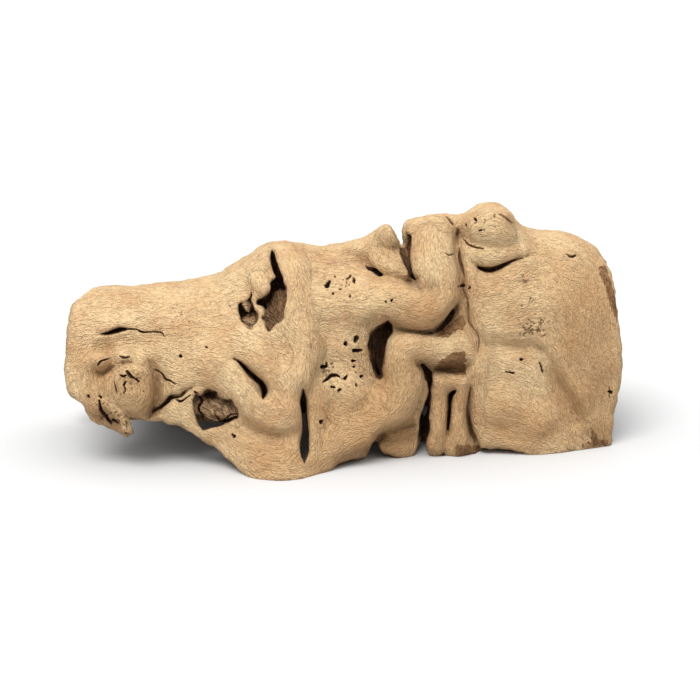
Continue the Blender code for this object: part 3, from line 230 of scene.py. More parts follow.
# %% From board to wood and back
def on_board(x, y, z):
    """Where a point of the wood is drawn on the front board."""
    dx, dy, dz = x - BOARD_MIDDLE[0], y - BOARD_MIDDLE[1], z - BOARD_MIDDLE[2]
    nearer = BOARD_REACH / (BOARD_REACH - dx * BOARD_BACK[0] - dy * BOARD_BACK[1]
                            - dz * BOARD_BACK[2])
    u = (dx * BOARD_RIGHT[0] + dy * BOARD_RIGHT[1]) * nearer
    v = (dx * BOARD_UP[0] + dy * BOARD_UP[1] + dz * BOARD_UP[2]) * nearer
    return u, v


def front_view(spots):
    """Where rows of points are drawn on the front board."""
    return on_board(*spots.T)


def back_view(spots):
    """Marks of the back are drawn straight from behind, as x and height."""
    return spots[:, 0], spots[:, 2]


def before_crest(spots):
    """Whether points lie on the front half of the wood."""
    return spots[:, 1] < station(CREST, spots[:, 0])


def from_board(u, v, y):
    """The point drawn at u, v that lies at depth y."""
    mark = np.array(BOARD_MIDDLE) + u * BOARD_RIGHT + v * BOARD_UP
    line = mark - BOARD_EYE
    return BOARD_EYE + line * (y - BOARD_EYE[1]) / line[1]


# Sight lines start this far in front of the wood's middle, clear of it, and end as far behind.
CLEAR_OF_WOOD = 110.0


def land(route, side, lift):
    """First points, lift mm off the body, that the marks of a route meet from their side."""
    route = np.asarray(route, dtype=float)
    if side == "front":
        mark = np.array(BOARD_MIDDLE) + route[:, :1] * BOARD_RIGHT + route[:, 1:2] * BOARD_UP
        line = mark - BOARD_EYE
        line /= np.linalg.norm(line, axis=1, keepdims=True)
        start = mark - CLEAR_OF_WOOD * line
    else:
        start = np.stack([route[:, 0], np.full(len(route), CLEAR_OF_WOOD), route[:, 1]], axis=1)
        line = np.tile((0.0, -1.0, 0.0), (len(route), 1))
    steps = np.arange(0.0, 2 * CLEAR_OF_WOOD, 0.5)
    p = start[:, None, :] + line[:, None, :] * steps[None, :, None]
    gap = body_distance(p[..., 0], p[..., 1], p[..., 2]) - np.asarray(lift)[:, None]
    hit = np.where((gap < 0).any(axis=1), np.argmax(gap < 0, axis=1), np.argmin(gap, axis=1))
    return p[np.arange(len(p)), hit]

# %% [markdown]
# ## Outline
# The two ends of the trunk are broken off, and the lower edges are worn away unevenly. Their
# outline is drawn on the board and later used like a saw.

# %% Edges drawn on the board
LEFT_END = (
    (-108.3, -42), (-112, -43.5), (-114.8, -41.5), (-118, -40), (-121.5, -38.5), (-125, -37),
    (-129.5, -34.5), (-131.5, -31), (-132.5, -27.5), (-136, -25), (-140, -22), (-141.5, -17.5),
    (-142.3, -9.5), (-141.5, 2.5), (-141, 11), (-139.5, 18), (-138.5, 22.5), (-135, 25),
    (-128.5, 31),
)
TOP_EDGE = (
    (-125, 32), (-117.5, 32.5), (-110, 31.5), (-100, 33), (-92.5, 34.5), (-85, 34.5),
    (-75, 36.3), (-64, 39), (-62, 41.5), (-55, 45), (-50, 47.8), (-45, 52), (-42, 54), (-39, 55),
    (-32.5, 55.3), (-25, 54), (-20, 52.8), (-13.5, 52), (-10, 53.5), (-4, 54.3), (0, 56.3),
    (6, 57), (10, 60), (14, 63), (17, 64.3), (19, 63.8), (20.5, 61.5), (22.5, 58), (24, 54.5),
    (25, 52), (27, 52), (27, 55), (26.5, 59), (27, 63), (28.5, 65.5), (31.5, 67.3), (35, 68.3),
    (40, 68.8), (45, 68.5), (50, 67.8), (54, 67.3), (57, 68.3), (60, 70), (64, 73.3), (69, 74.3),
    (74, 73.5), (79, 71), (82, 68), (84, 65), (87, 61.8), (91, 60.5), (95, 60), (102.5, 60),
    (110, 59), (115, 57.8), (120, 55), (123.5, 52), (126, 48), (128.5, 44), (130.5, 39),
    (132, 33.5), (133, 29), (133, 25), (133.5, 20), (134.3, 14),
)
RIGHT_END = (
    (135, 7.5), (136, 2.5), (136.3, -5), (135.5, -12.5), (134.5, -19), (133, -25), (132, -30),
    (131.5, -37.5), (130.5, -42.5), (130.5, -50),
)
# Lower edge of the front wall, right to left; where it stands, it is drawn a little below
# the floor and the floor trims it.
FRONT_HEM = (
    (140, -52), (125, -52), (105, -54.5), (92.5, -55.5), (87.5, -51.8), (82.5, -50.3), (77.5, -49.3),
    (73.5, -48.6), (65, -49), (63.5, -53), (60, -57), (50, -57), (46.5, -51), (44.5, -56),
    (40.5, -55), (39.2, -50), (37.5, -46), (34, -47), (31, -53), (28, -55), (22.5, -53),
    (16, -51), (13.5, -46), (11.5, -45.5), (8.5, -53), (4, -54.5), (0, -55), (-5, -56.5),
    (-8.5, -59), (-15, -64), (-20, -68), (-25, -70), (-47, -70), (-51, -64), (-55, -60),
    (-58.5, -56.5), (-62, -54), (-65, -50.5), (-68, -48), (-72, -46), (-75, -44), (-81, -40),
    (-85, -37), (-91.5, -36.3), (-93.5, -34.8), (-99, -35), (-109, -34.2), (-110.8, -33.3),
    (-110, -37.5), (-108.3, -42), (-112, -43.5), (-125, -44), (-150, -44),
)
# Lower edge of the back wall, seen from behind: x and height.
BACK_HEM = (
    (-150, 17), (-132, 15), (-112, 9), (-98, 3), (-88, -4), (62, -4), (67, 4), (74, 14), (85, 20),
    (97, 18), (105, 9), (110, -2), (116, -4), (150, -4),
)
# Closed outlines for the saw: all round the trunk, and the part above the front hem.
TRUNK_OUTLINE = LEFT_END + TOP_EDGE + RIGHT_END + ((130, -140), (-108, -140))
HEM_OUTLINE = ((-170, 120), (170, 120), (170, -52)) + FRONT_HEM + ((-170, -44),)
BACK_HEM_CURVE = smooth_curve(BACK_HEM, 8)
# Where the tall end was broken off, in x.
TALL_END = 131


def back_hem(x):
    """Height of the back wall's lower edge."""
    return np.interp(x, BACK_HEM_CURVE[:, 0], BACK_HEM_CURVE[:, 1])


print(len(LEFT_END) + len(TOP_EDGE) + len(RIGHT_END) + len(FRONT_HEM), "points of outline")

# %% [markdown]
# ## Folds
# An old vine grows in ropes that merge: each shoot thickens over its neighbour. Every rope is a
# chain of round beads along a drawn route, and the beads are blended into the body.

# %% Folds of the front and the back
# Each row is u, v, half width and height above the body. Behind, u and v are x and height.
FRONT_FOLDS = {
    "main ridge": (
        (-32, 53, 8, 2.5), (-27, 43, 7.5, 3.5), (-26, 30, 8, 3.8), (-25, 18, 8.5, 4), (-22, 6, 10, 5.5),
        (-21, -3, 10.5, 6.8), (-24, -12, 10, 7.5), (-31, -20, 11, 7),
    ),
    "lobe": ((-41, -29, 11, 8.5), (-34, -32, 12, 9.5)),
    "slit bank": ((-54, 6, 8, 3), (-46, -4, 8, 5), (-39, -14, 8, 6)),
    "band over the lower hole": (
        (-72, -4, 9, 3), (-62, -13, 9, 5.5), (-53, -23, 7.5, 7), (-46, -30, 9, 8),
    ),
    "left shoulder": ((-60, 39, 9, 2.5), (-53, 43, 9, 3.5), (-45, 47, 9, 4)),
    "shoulder tongue": ((-50, 40, 7, 4.5), (-45, 33, 5.5, 4.5)),
    "upper ridge": ((-18, 49, 8, 1.5), (-4, 51, 8, 3), (8, 55, 8, 6), (16, 60, 7.5, 9.5)),
    "cleft peak": ((14.5, 60.5, 7, 9.5), (18, 62, 6.5, 13)),
    "column head": ((33, 64, 6.5, 10), (41, 66, 9, 11), (49, 64, 7, 8)),
    "slab by the cleft": ((14, 57, 8, 6), (17, 47, 8, 4), (21, 39, 6, 2.5)),
    "long fold": (
        (-15, 27, 9, 2.5), (-2, 26.5, 11, 5), (12, 26, 12, 8), (27, 22.5, 12, 10),
        (40, 21, 12, 12), (45.5, 27, 12, 12), (43.5, 40, 13, 11.5), (41, 54, 13, 10.5),
        (41, 64, 12, 7),
    ),
    "elbow fold": (
        (60, 0, 8, 4), (50, 0, 8.5, 7), (38, 0.5, 8.5, 9), (28.5, -1, 9, 10), (26.5, -9, 9.5, 11),
        (28.5, -19, 10, 11.5), (24, -29, 12, 11), (15, -37, 12, 9.5), (2, -44, 12, 8),
        (-10, -51, 11, 6),
    ),
    "middle panel": ((-4, -20, 12, 3), (5, -27, 13, 4.5), (0, -35, 12, 5)),
    "heel": ((24, -48, 8.5, 3.5),),
    "first post": ((45, -18, 4.6, 3.5), (45, -30, 4.6, 3.8), (43, -47, 5.5, 5.5)),
    "second post": ((55, -18, 4.8, 3), (56, -33, 5.2, 3.8), (55.5, -49, 6.5, 5.5)),
    "post head": ((44, -16.5, 4, 3), (51, -16.5, 4, 3), (58, -17, 4, 2.5)),
    "collar": ((57, 55, 5, 2), (61, 30, 5, 1.5), (65, 3, 6, 2.5), (64, -20, 5, 2), (65, -40, 5, 1)),
    "crown knob": ((60, 65, 8, 6), (69, 67, 10, 12.5), (77, 64, 9, 9)),
    "crown step": ((68, 50, 9, 4), (79, 51, 9, 3)),
    "low cheek": ((76, -32, 22, 4.5), (92, -38, 22, 4.5)),
    "cheek foot": ((70, -46, 9, 3), (104, -48, 9, 3)),
    "left of the slot": ((-30, -26, 7, 4), (-28, -42, 7, 3.5), (-29, -56, 9, 4)),
    "right of the slot": ((-16, -22, 7, 3), (-15.5, -38, 7, 4.5), (-17, -53, 8, 5)),
    "foot": ((-54, -48, 9, 2), (-42, -57, 12, 4.5), (-30, -60, 10, 4)),
    "big knot": ((-110, -16, 12, 10), (-107, -21, 12, 10.5)),
    "knot crown": ((-114, -12, 6, 8.5), (-108, -12.5, 6, 11)),
    "knot cheek": ((-103, -15, 6, 9.5), (-102, -23, 6.5, 9.5)),
    "knot flank": ((-119, -14, 5, 6), (-117, -22, 6, 6.5)),
    "small knot left": ((-125, -5.8, 6, 5.5),),
    "small knot right": ((-113, -3.6, 5, 6),),
    "horn": ((-119, -27, 6, 5), (-115, -34, 4.5, 6), (-110.5, -42, 2.8, 5)),
    "left lip": ((-129, -22, 8, 2.5), (-124, -29, 7, 3.5)),
}
BACK_FOLDS = {
    "long back fold": (
        (-138, 40, 9, 3), (-105, 48, 10, 5), (-72, 44, 11, 6), (-40, 54, 12, 7), (-8, 46, 11, 6),
        (22, 58, 12, 7), (52, 50, 12, 6), (84, 60, 11, 5), (128, 52, 10, 3),
    ),
    "low back fold": (
        (-120, 16, 8, 3), (-84, 14, 10, 5), (-58, 24, 10, 6), (-48, 40, 9, 6),
    ),
    "back foot": ((-66, 30, 9, 5), (-72, 12, 10, 6), (-76, -2, 11, 7)),
    "second back foot": ((6, 44, 10, 5), (12, 24, 11, 7), (16, 6, 12, 7), (18, -3, 12, 7)),
    "arch lip": ((60, 8, 6, 4), (67, 19, 6, 4.5), (84, 28, 6.5, 5), (101, 24, 6, 4.5), (112, 8, 6, 4)),
    "middle back fold": ((-44, 40, 9, 4), (-30, 22, 10, 6), (-14, 12, 11, 5), (-2, -2, 9, 4)),
    "right back fold": ((44, 46, 8, 3), (66, 38, 8, 4), (98, 42, 9, 4), (126, 34, 8, 3)),
    "back knot": ((104, 58, 11, 6),),
    "small back knot": ((-112, 54, 8, 4.5),),
    "upper back fold": ((-56, 62, 9, 2.5), (-20, 68, 10, 4), (24, 74, 10, 4), (66, 70, 10, 3)),
}


def fold_beads(route, side):
    """Centres and radii of the round beads that make a fold."""
    fine = smooth_curve(route, 5) if len(route) > 1 else np.asarray(route, dtype=float)
    half = np.maximum(fine[:, 2], 0.5)
    rise = np.maximum(fine[:, 3], 0.1)
    radius = np.where(rise < half, (half ** 2 + rise ** 2) / (2 * rise), half)
    radius = np.minimum(radius, WIDEST_FOLD)
    top = land(fine, side, rise)
    return top - body_normal(top) * radius[:, None], radius


def add_beads(block, field, centre, radius, reach):
    """Joins a chain of round-ended beads to a field."""
    ends = [(i, min(i + 1, len(centre) - 1)) for i in range(max(len(centre) - 1, 1))]
    for i, j in ends:
        a, b = centre[i], centre[j]
        ra, rb = radius[i], radius[j]
        big = max(ra, rb) + reach
        cut, x, y, z = block.part(np.minimum(a, b) - big, np.maximum(a, b) + big)
        if min(x.size, y.size, z.size) == 0:
            continue
        ab = b - a
        span = max(float(ab @ ab), 1e-9)
        t = np.clip(((x - a[0]) * ab[0] + (y - a[1]) * ab[1] + (z - a[2]) * ab[2]) / span, 0, 1)
        away = np.sqrt((x - a[0] - t * ab[0]) ** 2 + (y - a[1] - t * ab[1]) ** 2
                       + (z - a[2] - t * ab[2]) ** 2) - (ra + t * (rb - ra))
        field[cut] = np.minimum(field[cut], away)


def blend_beads(block, field, centre, radius, reach, blend):
    """Makes a chain of beads whole in a block of its own, then blends it into a field."""
    low = (centre - radius[:, None]).min(axis=0) - reach
    high = (centre + radius[:, None]).max(axis=0) + reach
    cut, x, y, z = block.part(low, high)
    if min(x.size, y.size, z.size) == 0:
        return
    own = Block(block.low + block.step * np.array([c.start for c in cut]),
                block.low + block.step * np.array([c.stop - 1 for c in cut]), block.step)
    chain = np.full(own.count, FAR, dtype=np.float32)
    add_beads(own, chain, centre, radius, reach)
    field[cut] = smooth_low(field[cut], chain, blend)


def fold_field(block):
    """All folds of both sides in one field."""
    field = np.full(block.count, FAR, dtype=np.float32)
    for side, folds in (("front", FRONT_FOLDS), ("back", BACK_FOLDS)):
        for route in folds.values():
            blend_beads(block, field, *fold_beads(route, side), reach=8.0, blend=1.6)
    return field


print(len(FRONT_FOLDS), "folds in front,", len(BACK_FOLDS), "behind")

# %% [markdown]
# ## Swells, hollows and creases
# Between the ropes lie shallow swells, and sharp creases where two ropes press on each other.
# These are painted as heights on the board, as a carver would rough them out with a gouge.

# %% Painted relief
# Relief worked into the front: u, v, half width and height (negative is a hollow).
FRONT_RELIEF = {
    "round the upper hole": ((-47, 22, 16, -2.5), (-42, 28, 16, -2.5)),
    "right of the ridge": ((-13, 20, 9, .6), (-12.5, 2, 8, -1), (-15, -10, 6, -2)),
    "under the ridge's knee": ((-32, 4, 9, -2.5), (-29, -3, 8, -2.5)),
    "left of the ridge": ((-52, -2, 4, -1), (-62, 12, 10, -1)),
    "round the long hole": ((15, 8, 9, -2.5), (14, -10, 7, -3)),
    "panel hollow": ((-7, -12, 8, -2), (2, -10, 8, -1.5)),
    "over the lobe's end": ((-43, -22, 4, -2),),
    "upper cheek": ((80, 26, 16, 2.5), (100, 22, 17, 2.5)),
    "cheek step": ((64, 3, 5, -1.5), (78, 2, 5, -2), (92, 1.5, 5, -2)),
    "cheek valley": ((97, -3, 5, -2.5), (101, -12, 5, -3.5), (107, -23, 5, -3.5), (113, -34, 5, -2.5)),
    "cheek ridge": ((99, 2, 5, 1), (107, -11, 5, 3), (114, -23, 6, 3), (121, -36, 6, 2)),
    "upper cheek swell": ((115, 20, 12, 1.5), (122, -5, 10, 1.5)),
    "behind the knot": ((-97, -9, 5, -1.5), (-95.5, -18, 5, -3), (-98, -28, 4, -2.5)),
    "over the knots": ((-125, .8, 3.5, -2.4), (-115.5, 3, 3.5, -1.8), (-106, 1, 5, -1)),
    "between the knots": ((-120, -1, 3, -1.8), (-119.5, -8, 3, -1.8), (-124, -12, 4, -1.5)),
    "lip pit": ((-123, -33, 3.5, -3), (-117, -37.5, 3, -3)),
    "left block swell": ((-132, 14, 10, 1.5), (-110, 20, 12, 1.5)),
    "above the left slit": ((-118, 13, 5, 1), (-106, 14, 5, .6)),
    "below the left slit": ((-122, 5, 4, -1), (-110, 6.5, 4, -.8), (-98, 5.5, 5, -.8)),
    "shoulder dip": ((-84, 26, 12, -1.5), (-70, 24, 10, -1)),
    "heel sides": ((15.5, -44, 3, -3), (33, -44, 3, -3)),
    "crown dip": ((86, 56, 8, -2), (96, 55, 8, -1)),
    "crown cleft": ((84, 62, 5, -1.5),),
}
# Sharp-bottomed creases between the folds: u, v, half width and depth.
FRONT_CREASES = {
    "under the lobe": (
        (-57, -36, 4, 1), (-52, -39, 5, 2), (-44, -42.5, 5, 2.2), (-36, -43, 5, 1.8),
        (-29, -41, 4, .8),
    ),
    "under the upper ridge": (
        (-14, 47.5, 5, 1.5), (-4, 47.5, 5, 2.2), (3, 46.8, 5, 2.5), (9, 42, 4.5, 3.2),
        (15, 38, 4.5, 3.2), (22, 36.5, 4, 2.8), (29, 34.5, 4, 3.2), (33, 34.5, 4, 2.5),
    ),
    "under the long fold": (
        (19, 14, 3.5, 3), (24, 11, 3.5, 3.5), (31, 9.3, 3.2, 3.5), (38, 8.8, 3.5, 4),
        (43, 9.5, 4.5, 5), (46.5, 12.5, 5, 6.5), (50.5, 17.5, 4.5, 6.5), (53.5, 22.5, 4, 4),
    ),
    "under the elbow": (
        (35, -7, 3, 3), (40, -9.5, 3.5, 4.5), (47, -9.8, 3.5, 4.5), (55, -9, 3.5, 3.5),
        (59, -8, 3, 1.5),
    ),
    "under the elbow's hem": (
        (9, -50, 3, 3), (14, -44.5, 3.5, 4), (18, -41, 3.5, 4.5), (24, -39.5, 3.5, 4.5),
        (31, -37.5, 3.5, 4),
    ),
    "column and collar": (
        (51, 67, 3, 1.5), (53.5, 58, 4, 3), (54.5, 49, 4.5, 4), (56, 40, 4.5, 4.5),
        (57, 30, 4.5, 4), (59.5, 17, 4, 3.5), (61.5, 9, 4, 3), (64, 2, 3, 2), (64, -8, 3, 1.5),
    ),
    "low collar": (
        (61.5, -14, 3, 1.5), (60, -25, 4, 3), (59.5, -34, 4.5, 4), (61, -42, 4.5, 4.5),
        (63.5, -50, 4, 4),
    ),
    "cleft to the fold": ((31, 34.5, 3.5, 3), (34, 36, 2.5, 1.5)),
    "beside the slit bank": ((-60, -3, 3, 1), (-52, -9, 4, 3), (-44.5, -16.5, 4, 4), (-42.5, -22, 4, 3)),
    "round the knot": (
        (-101, -5, 3, 1), (-97.5, -10, 3.5, 3), (-96.5, -17, 4, 5), (-97, -25, 4, 4.5),
        (-99.5, -31, 3, 2.5),
    ),
    "over the knot": ((-120, -16, 3, 1.2), (-117.5, -9.5, 3, 2), (-110, -6.8, 3, 2.6), (-103, -8, 3, 1.6)),
    "under the small knot": ((-128, -9, 3, 1.2), (-124, -11.5, 3, 2.2), (-120, -9, 3, 1.5)),
    "knot and crack": ((-99, -32, 3, 1.5), (-92, -26, 4, 3), (-84.5, -22.5, 3.5, 2), (-78, -18, 3, 1)),
    "under the crown": (
        (60, 44, 4, 1.5), (66, 40.5, 5, 3), (73, 40, 5, 3.2), (80, 43, 5, 2.5), (91, 47.5, 5, 1.2),
    ),
    "right of the tall slot": ((-24, -18, 3, 1.5), (-23, -30, 3.5, 2.5), (-22.5, -50, 4, 2.5)),
    "post slit": ((52, -21, 2.5, 1.5), (50, -27, 2.5, 2), (49, -42, 2.5, 1.5)),
    "cheek fold": (
        (65, 2.5, 3, .8), (74, 2, 3.5, 1.8), (84, 1.5, 3.5, 2.2), (93, 1.5, 3.5, 1.8), (98, -3, 3.5, 1.6),
        (102, -12, 4, 2.4), (107, -22, 4.5, 2.4), (113, -33, 4, 1.8), (119, -43, 3, 1),
    ),
}
BACK_RELIEF = {
    "long valley": ((-90, 30, 14, -2.5), (-20, 36, 12, -2), (38, 32, 14, -2.5), (80, 38, 14, -2.5)),
    "low swell": ((60, 10, 12, 2), (100, 6, 12, 2)),
    "knot hollow": ((-66, 56, 8, -2.5), (40, 60, 9, -2)),
}
BACK_CREASES = {
    "under the long back fold": (
        (-128, 33, 6, 1), (-104, 38, 8, 2.2), (-80, 31, 8, 3), (-64, 33, 7, 3), (-50, 43, 8, 2),
        (-34, 41, 7, 1),
    ),
    "over the long back fold": (
        (-56, 60, 7, 1), (-38, 66, 8, 2.4), (-20, 62, 8, 2.6), (-6, 57, 7, 1.5),
    ),
    "right back crease": ((14, 66, 7, 1), (30, 70, 8, 2.2), (52, 61, 8, 2.6), (76, 66, 7, 1)),
    "between the back feet": ((24, 40, 6, 1.5), (29, 22, 7, 3.5), (33, 4, 7, 3.5)),
}
# Where the front wall is thicker inside: u, v, half width and extra thickness.
WALL_SWELLS = {
    "behind the upper hole": ((-28, 22, 9, 10), (-34, 14, 8, 10), (-42, 3, 8, 8)),
    "thin beside the upper hole": ((-53, 20, 5, -6),),
    "thin over the upper hole": ((-37, 44, 5, -6), (-38, 36, 4, -4)),
    "behind the lower hole": ((-76, -28, 9, 8), (-64, -29, 9, 9), (-54, -33, 9, 8)),
    "behind the long hole": ((16, 8, 9, 8), (14, -2, 9, 9), (15, -12, 9, 8)),
    "behind the posts": ((37, -46, 7, 9), (39, -30, 6, 7), (50, -28, 10, 5)),
    "behind the slanting slit": ((-54, -8, 8, 6), (-44, -18, 9, 7)),
    "under the crown": ((40, 50, 18, 4), (70, 46, 18, 4)),
}


# Maps hold a height every half millimetre along u and v, or behind along x and z.
FRONT_LINES = (np.arange(-165, 165, 0.5), np.arange(-95, 95, 0.5))
BACK_LINES = (np.arange(-160, 160, 0.5), np.arange(-10, 130, 0.5))
# Front and back marks give way to each other over this distance behind the crest.
CREST_FADE = 14


def near_span(u, v, a, b):
    """Share of the way from mark a to mark b at its nearest place, and the distance to that."""
    ex, ey = b[0] - a[0], b[1] - a[1]
    t = np.clip(((u - a[0]) * ex + (v - a[1]) * ey) / (ex * ex + ey * ey + 1e-9), 0, 1)
    return t, np.hypot(u - a[0] - t * ex, v - a[1] - t * ey)


# A swell fades out at this many half widths, and this power makes the bottom of a crease sharp.
SWELL_REACH = 1.6
CREASE_POWER = 1.6


def paint(reliefs, creases, lines):
    """Height of all the relief drawn on a board, as a map along its two lines."""
    u_line, v_line = lines
    total = np.zeros((len(u_line), len(v_line)))
    for strokes, crease in ((reliefs, False), (creases, True)):
        for marks in strokes.values():
            pen = smooth_curve(marks, 4) if len(marks) > 1 else np.array(marks * 2, dtype=float)
            wide = pen[:, 2].max() * (1.0 if crease else SWELL_REACH)
            iu = np.nonzero((u_line > pen[:, 0].min() - wide) & (u_line < pen[:, 0].max() + wide))[0]
            iv = np.nonzero((v_line > pen[:, 1].min() - wide) & (v_line < pen[:, 1].max() + wide))[0]
            cut = np.ix_(iu, iv)
            u, v = u_line[iu][:, None], v_line[iv][None, :]
            best = np.zeros((len(iu), len(iv)))
            for a, b in zip(pen[:-1], pen[1:]):
                t, away = near_span(u, v, a, b)
                half = a[2] + t * (b[2] - a[2])
                high = a[3] + t * (b[3] - a[3])
                if crease:
                    groove = -high * np.clip(1 - away / half, 0, 1) ** CREASE_POWER
                    best = np.minimum(best, groove)
                else:
                    bell = high * np.clip(1 - (away / (SWELL_REACH * half)) ** 2, 0, 1) ** 2
                    best = np.where(np.abs(bell) > np.abs(best), bell, best)
            total[cut] += best
    return total


def look_up(table, lines, u, v):
    """Reads a drawn map at any place on its board."""
    u_line, v_line = lines
    step = u_line[1] - u_line[0]
    fu = np.clip((u - u_line[0]) / step, 0, len(u_line) - 1.001)
    fv = np.clip((v - v_line[0]) / step, 0, len(v_line) - 1.001)
    iu, iv = fu.astype(np.int32), fv.astype(np.int32)
    fu, fv = fu - iu, fv - iv
    return ((table[iu, iv] * (1 - fu) + table[iu + 1, iv] * fu) * (1 - fv)
            + (table[iu, iv + 1] * (1 - fu) + table[iu + 1, iv + 1] * fu) * fv)


def read_relief(block, front, back=None):
    """Spreads maps drawn for the front and the back through the block. Each fades at the crest."""
    rows = []
    for i in range(block.count[0]):
        x = block.x[i:i + 1]
        u, v = on_board(x, block.y, block.z)
        crest = station(CREST, x)
        height = look_up(front, FRONT_LINES, u, v)
        height = height * np.clip((crest + CREST_FADE - block.y) / CREST_FADE, 0, 1)
        if back is not None:
            behind = look_up(back, BACK_LINES, x + 0 * block.z, block.z + 0 * x)
            height = height + behind * np.clip((block.y - crest - 6) / CREST_FADE, 0, 1)
        rows.append(height.astype(np.float32))
    return np.concatenate(rows)

# %% [markdown]
# ## Holes, slits and worm holes
# Rot and insects opened the wall. Each large hole is an outline on the board with a depth, where
# it stops on a floor of darker wood. Slits are pen strokes that get narrower as they go in, and
# only the tall slot and the long back slit run right into the tunnel. Worm holes are 1 to 3 mm
# wide.

# %% Tables of the openings
# Outlines of the large openings, in u and v.
UPPER_SLOT = (
    (-38.8, 50), (-37.2, 47), (-36.8, 44), (-35.5, 41), (-34.2, 38.5), (-33, 35.5), (-32, 32),
    (-31.7, 30), (-35.5, 30), (-37.8, 29.2), (-39.2, 27), (-40.8, 24.8), (-42.2, 23), (-43, 20.5),
    (-45, 21.8), (-47, 22.5), (-47.2, 24), (-46.2, 25.2), (-44, 25.5), (-42, 27), (-40.5, 29.2),
    (-39.5, 31.2), (-40, 33.2), (-38.5, 35), (-37.2, 36.2), (-38.5, 39), (-39.8, 42.5), (-40, 46),
)
UPPER_SHELF = (
    (-31.7, 30.5), (-31.6, 26.5), (-32, 23.5), (-32.2, 21), (-33, 18), (-33.5, 16), (-34.8, 14.2),
    (-36, 13.8), (-37.5, 12.5), (-39, 10.5), (-40.5, 9), (-42, 11.5), (-42.5, 13.5), (-44, 15),
    (-44.2, 16), (-43.1, 17.5), (-43, 20.5), (-42.2, 23), (-40.8, 24.8), (-39.2, 27),
    (-37.8, 29.2), (-35.5, 30.5),
)
UPPER_POCKET = (
    (-55.8, 23), (-54.5, 24), (-51.5, 24.8), (-50.1, 26.5), (-49.5, 29.8), (-48.6, 27),
    (-49, 25.2), (-48.2, 23), (-47.8, 20.5), (-46.2, 19), (-45.8, 17), (-46, 15), (-47, 13.2),
    (-48.5, 11.5), (-49, 10), (-50.2, 10), (-52.5, 12), (-54, 14), (-55, 16.5), (-55.8, 19.5),
)
LOWER_HOLE = (
    (-79, -26), (-77, -22), (-75, -23), (-72.5, -20.5), (-71, -19.3), (-69, -20), (-66.5, -20.3),
    (-66, -23), (-63, -24.5), (-59.5, -24.5), (-57.5, -27), (-56, -29), (-55.5, -32.5),
    (-56, -34.5), (-61, -36.8), (-67.5, -39), (-73.5, -40), (-76, -37.5), (-77.5, -33),
)
LONG_HOLE = (
    (19, 15), (21, 12.5), (21.5, 9), (19, 5), (17.5, 1.5), (17.5, -2.5), (17, -7.5), (16, -10.5),
    (16.5, -13.5), (15, -15), (13, -13.5), (11.5, -10), (10.5, -6), (10, -2.5), (8.5, 2.5),
    (10, 7.5), (12.5, 10.5), (16, 13),
)
POST_SLOT = (
    (35.5, -6.5), (37, -7), (39.5, -9.5), (41, -12), (41.5, -15), (41, -19), (40.5, -25),
    (40, -32.5), (40, -40), (39, -44), (38.5, -50), (34, -50), (34.3, -42), (35, -35),
    (35.5, -30.5), (37, -28), (38.5, -24), (39, -20), (38.5, -16), (37, -12), (35.5, -8),
)
CLEFT = (
    (20.5, 72), (22.5, 58), (24, 54.5), (24.5, 51), (25, 47.5), (26.5, 44), (28, 41), (29.5, 37),
    (31.5, 34.6), (33.6, 35.2), (32.3, 37), (30.8, 41), (30, 45), (30.3, 49), (31, 53.5),
    (31, 57), (27.5, 59), (27, 63), (26.5, 72),
)
# Outline, how deep below the skin it goes, and rounding of its rim.
FRONT_HOLES = {
    "upper slot": (UPPER_SLOT, 16, 1.6),
    "upper shelf": (UPPER_SHELF, 9, 1.6),
    "upper pocket": (UPPER_POCKET, 13, 1.6),
    "lower hole": (LOWER_HOLE, 14, 1.6),
    "long hole": (LONG_HOLE, 14, 2.0),
    "post slot": (POST_SLOT, 17, 1.4),
    "cleft": (CLEFT, 12, 0.9),
}
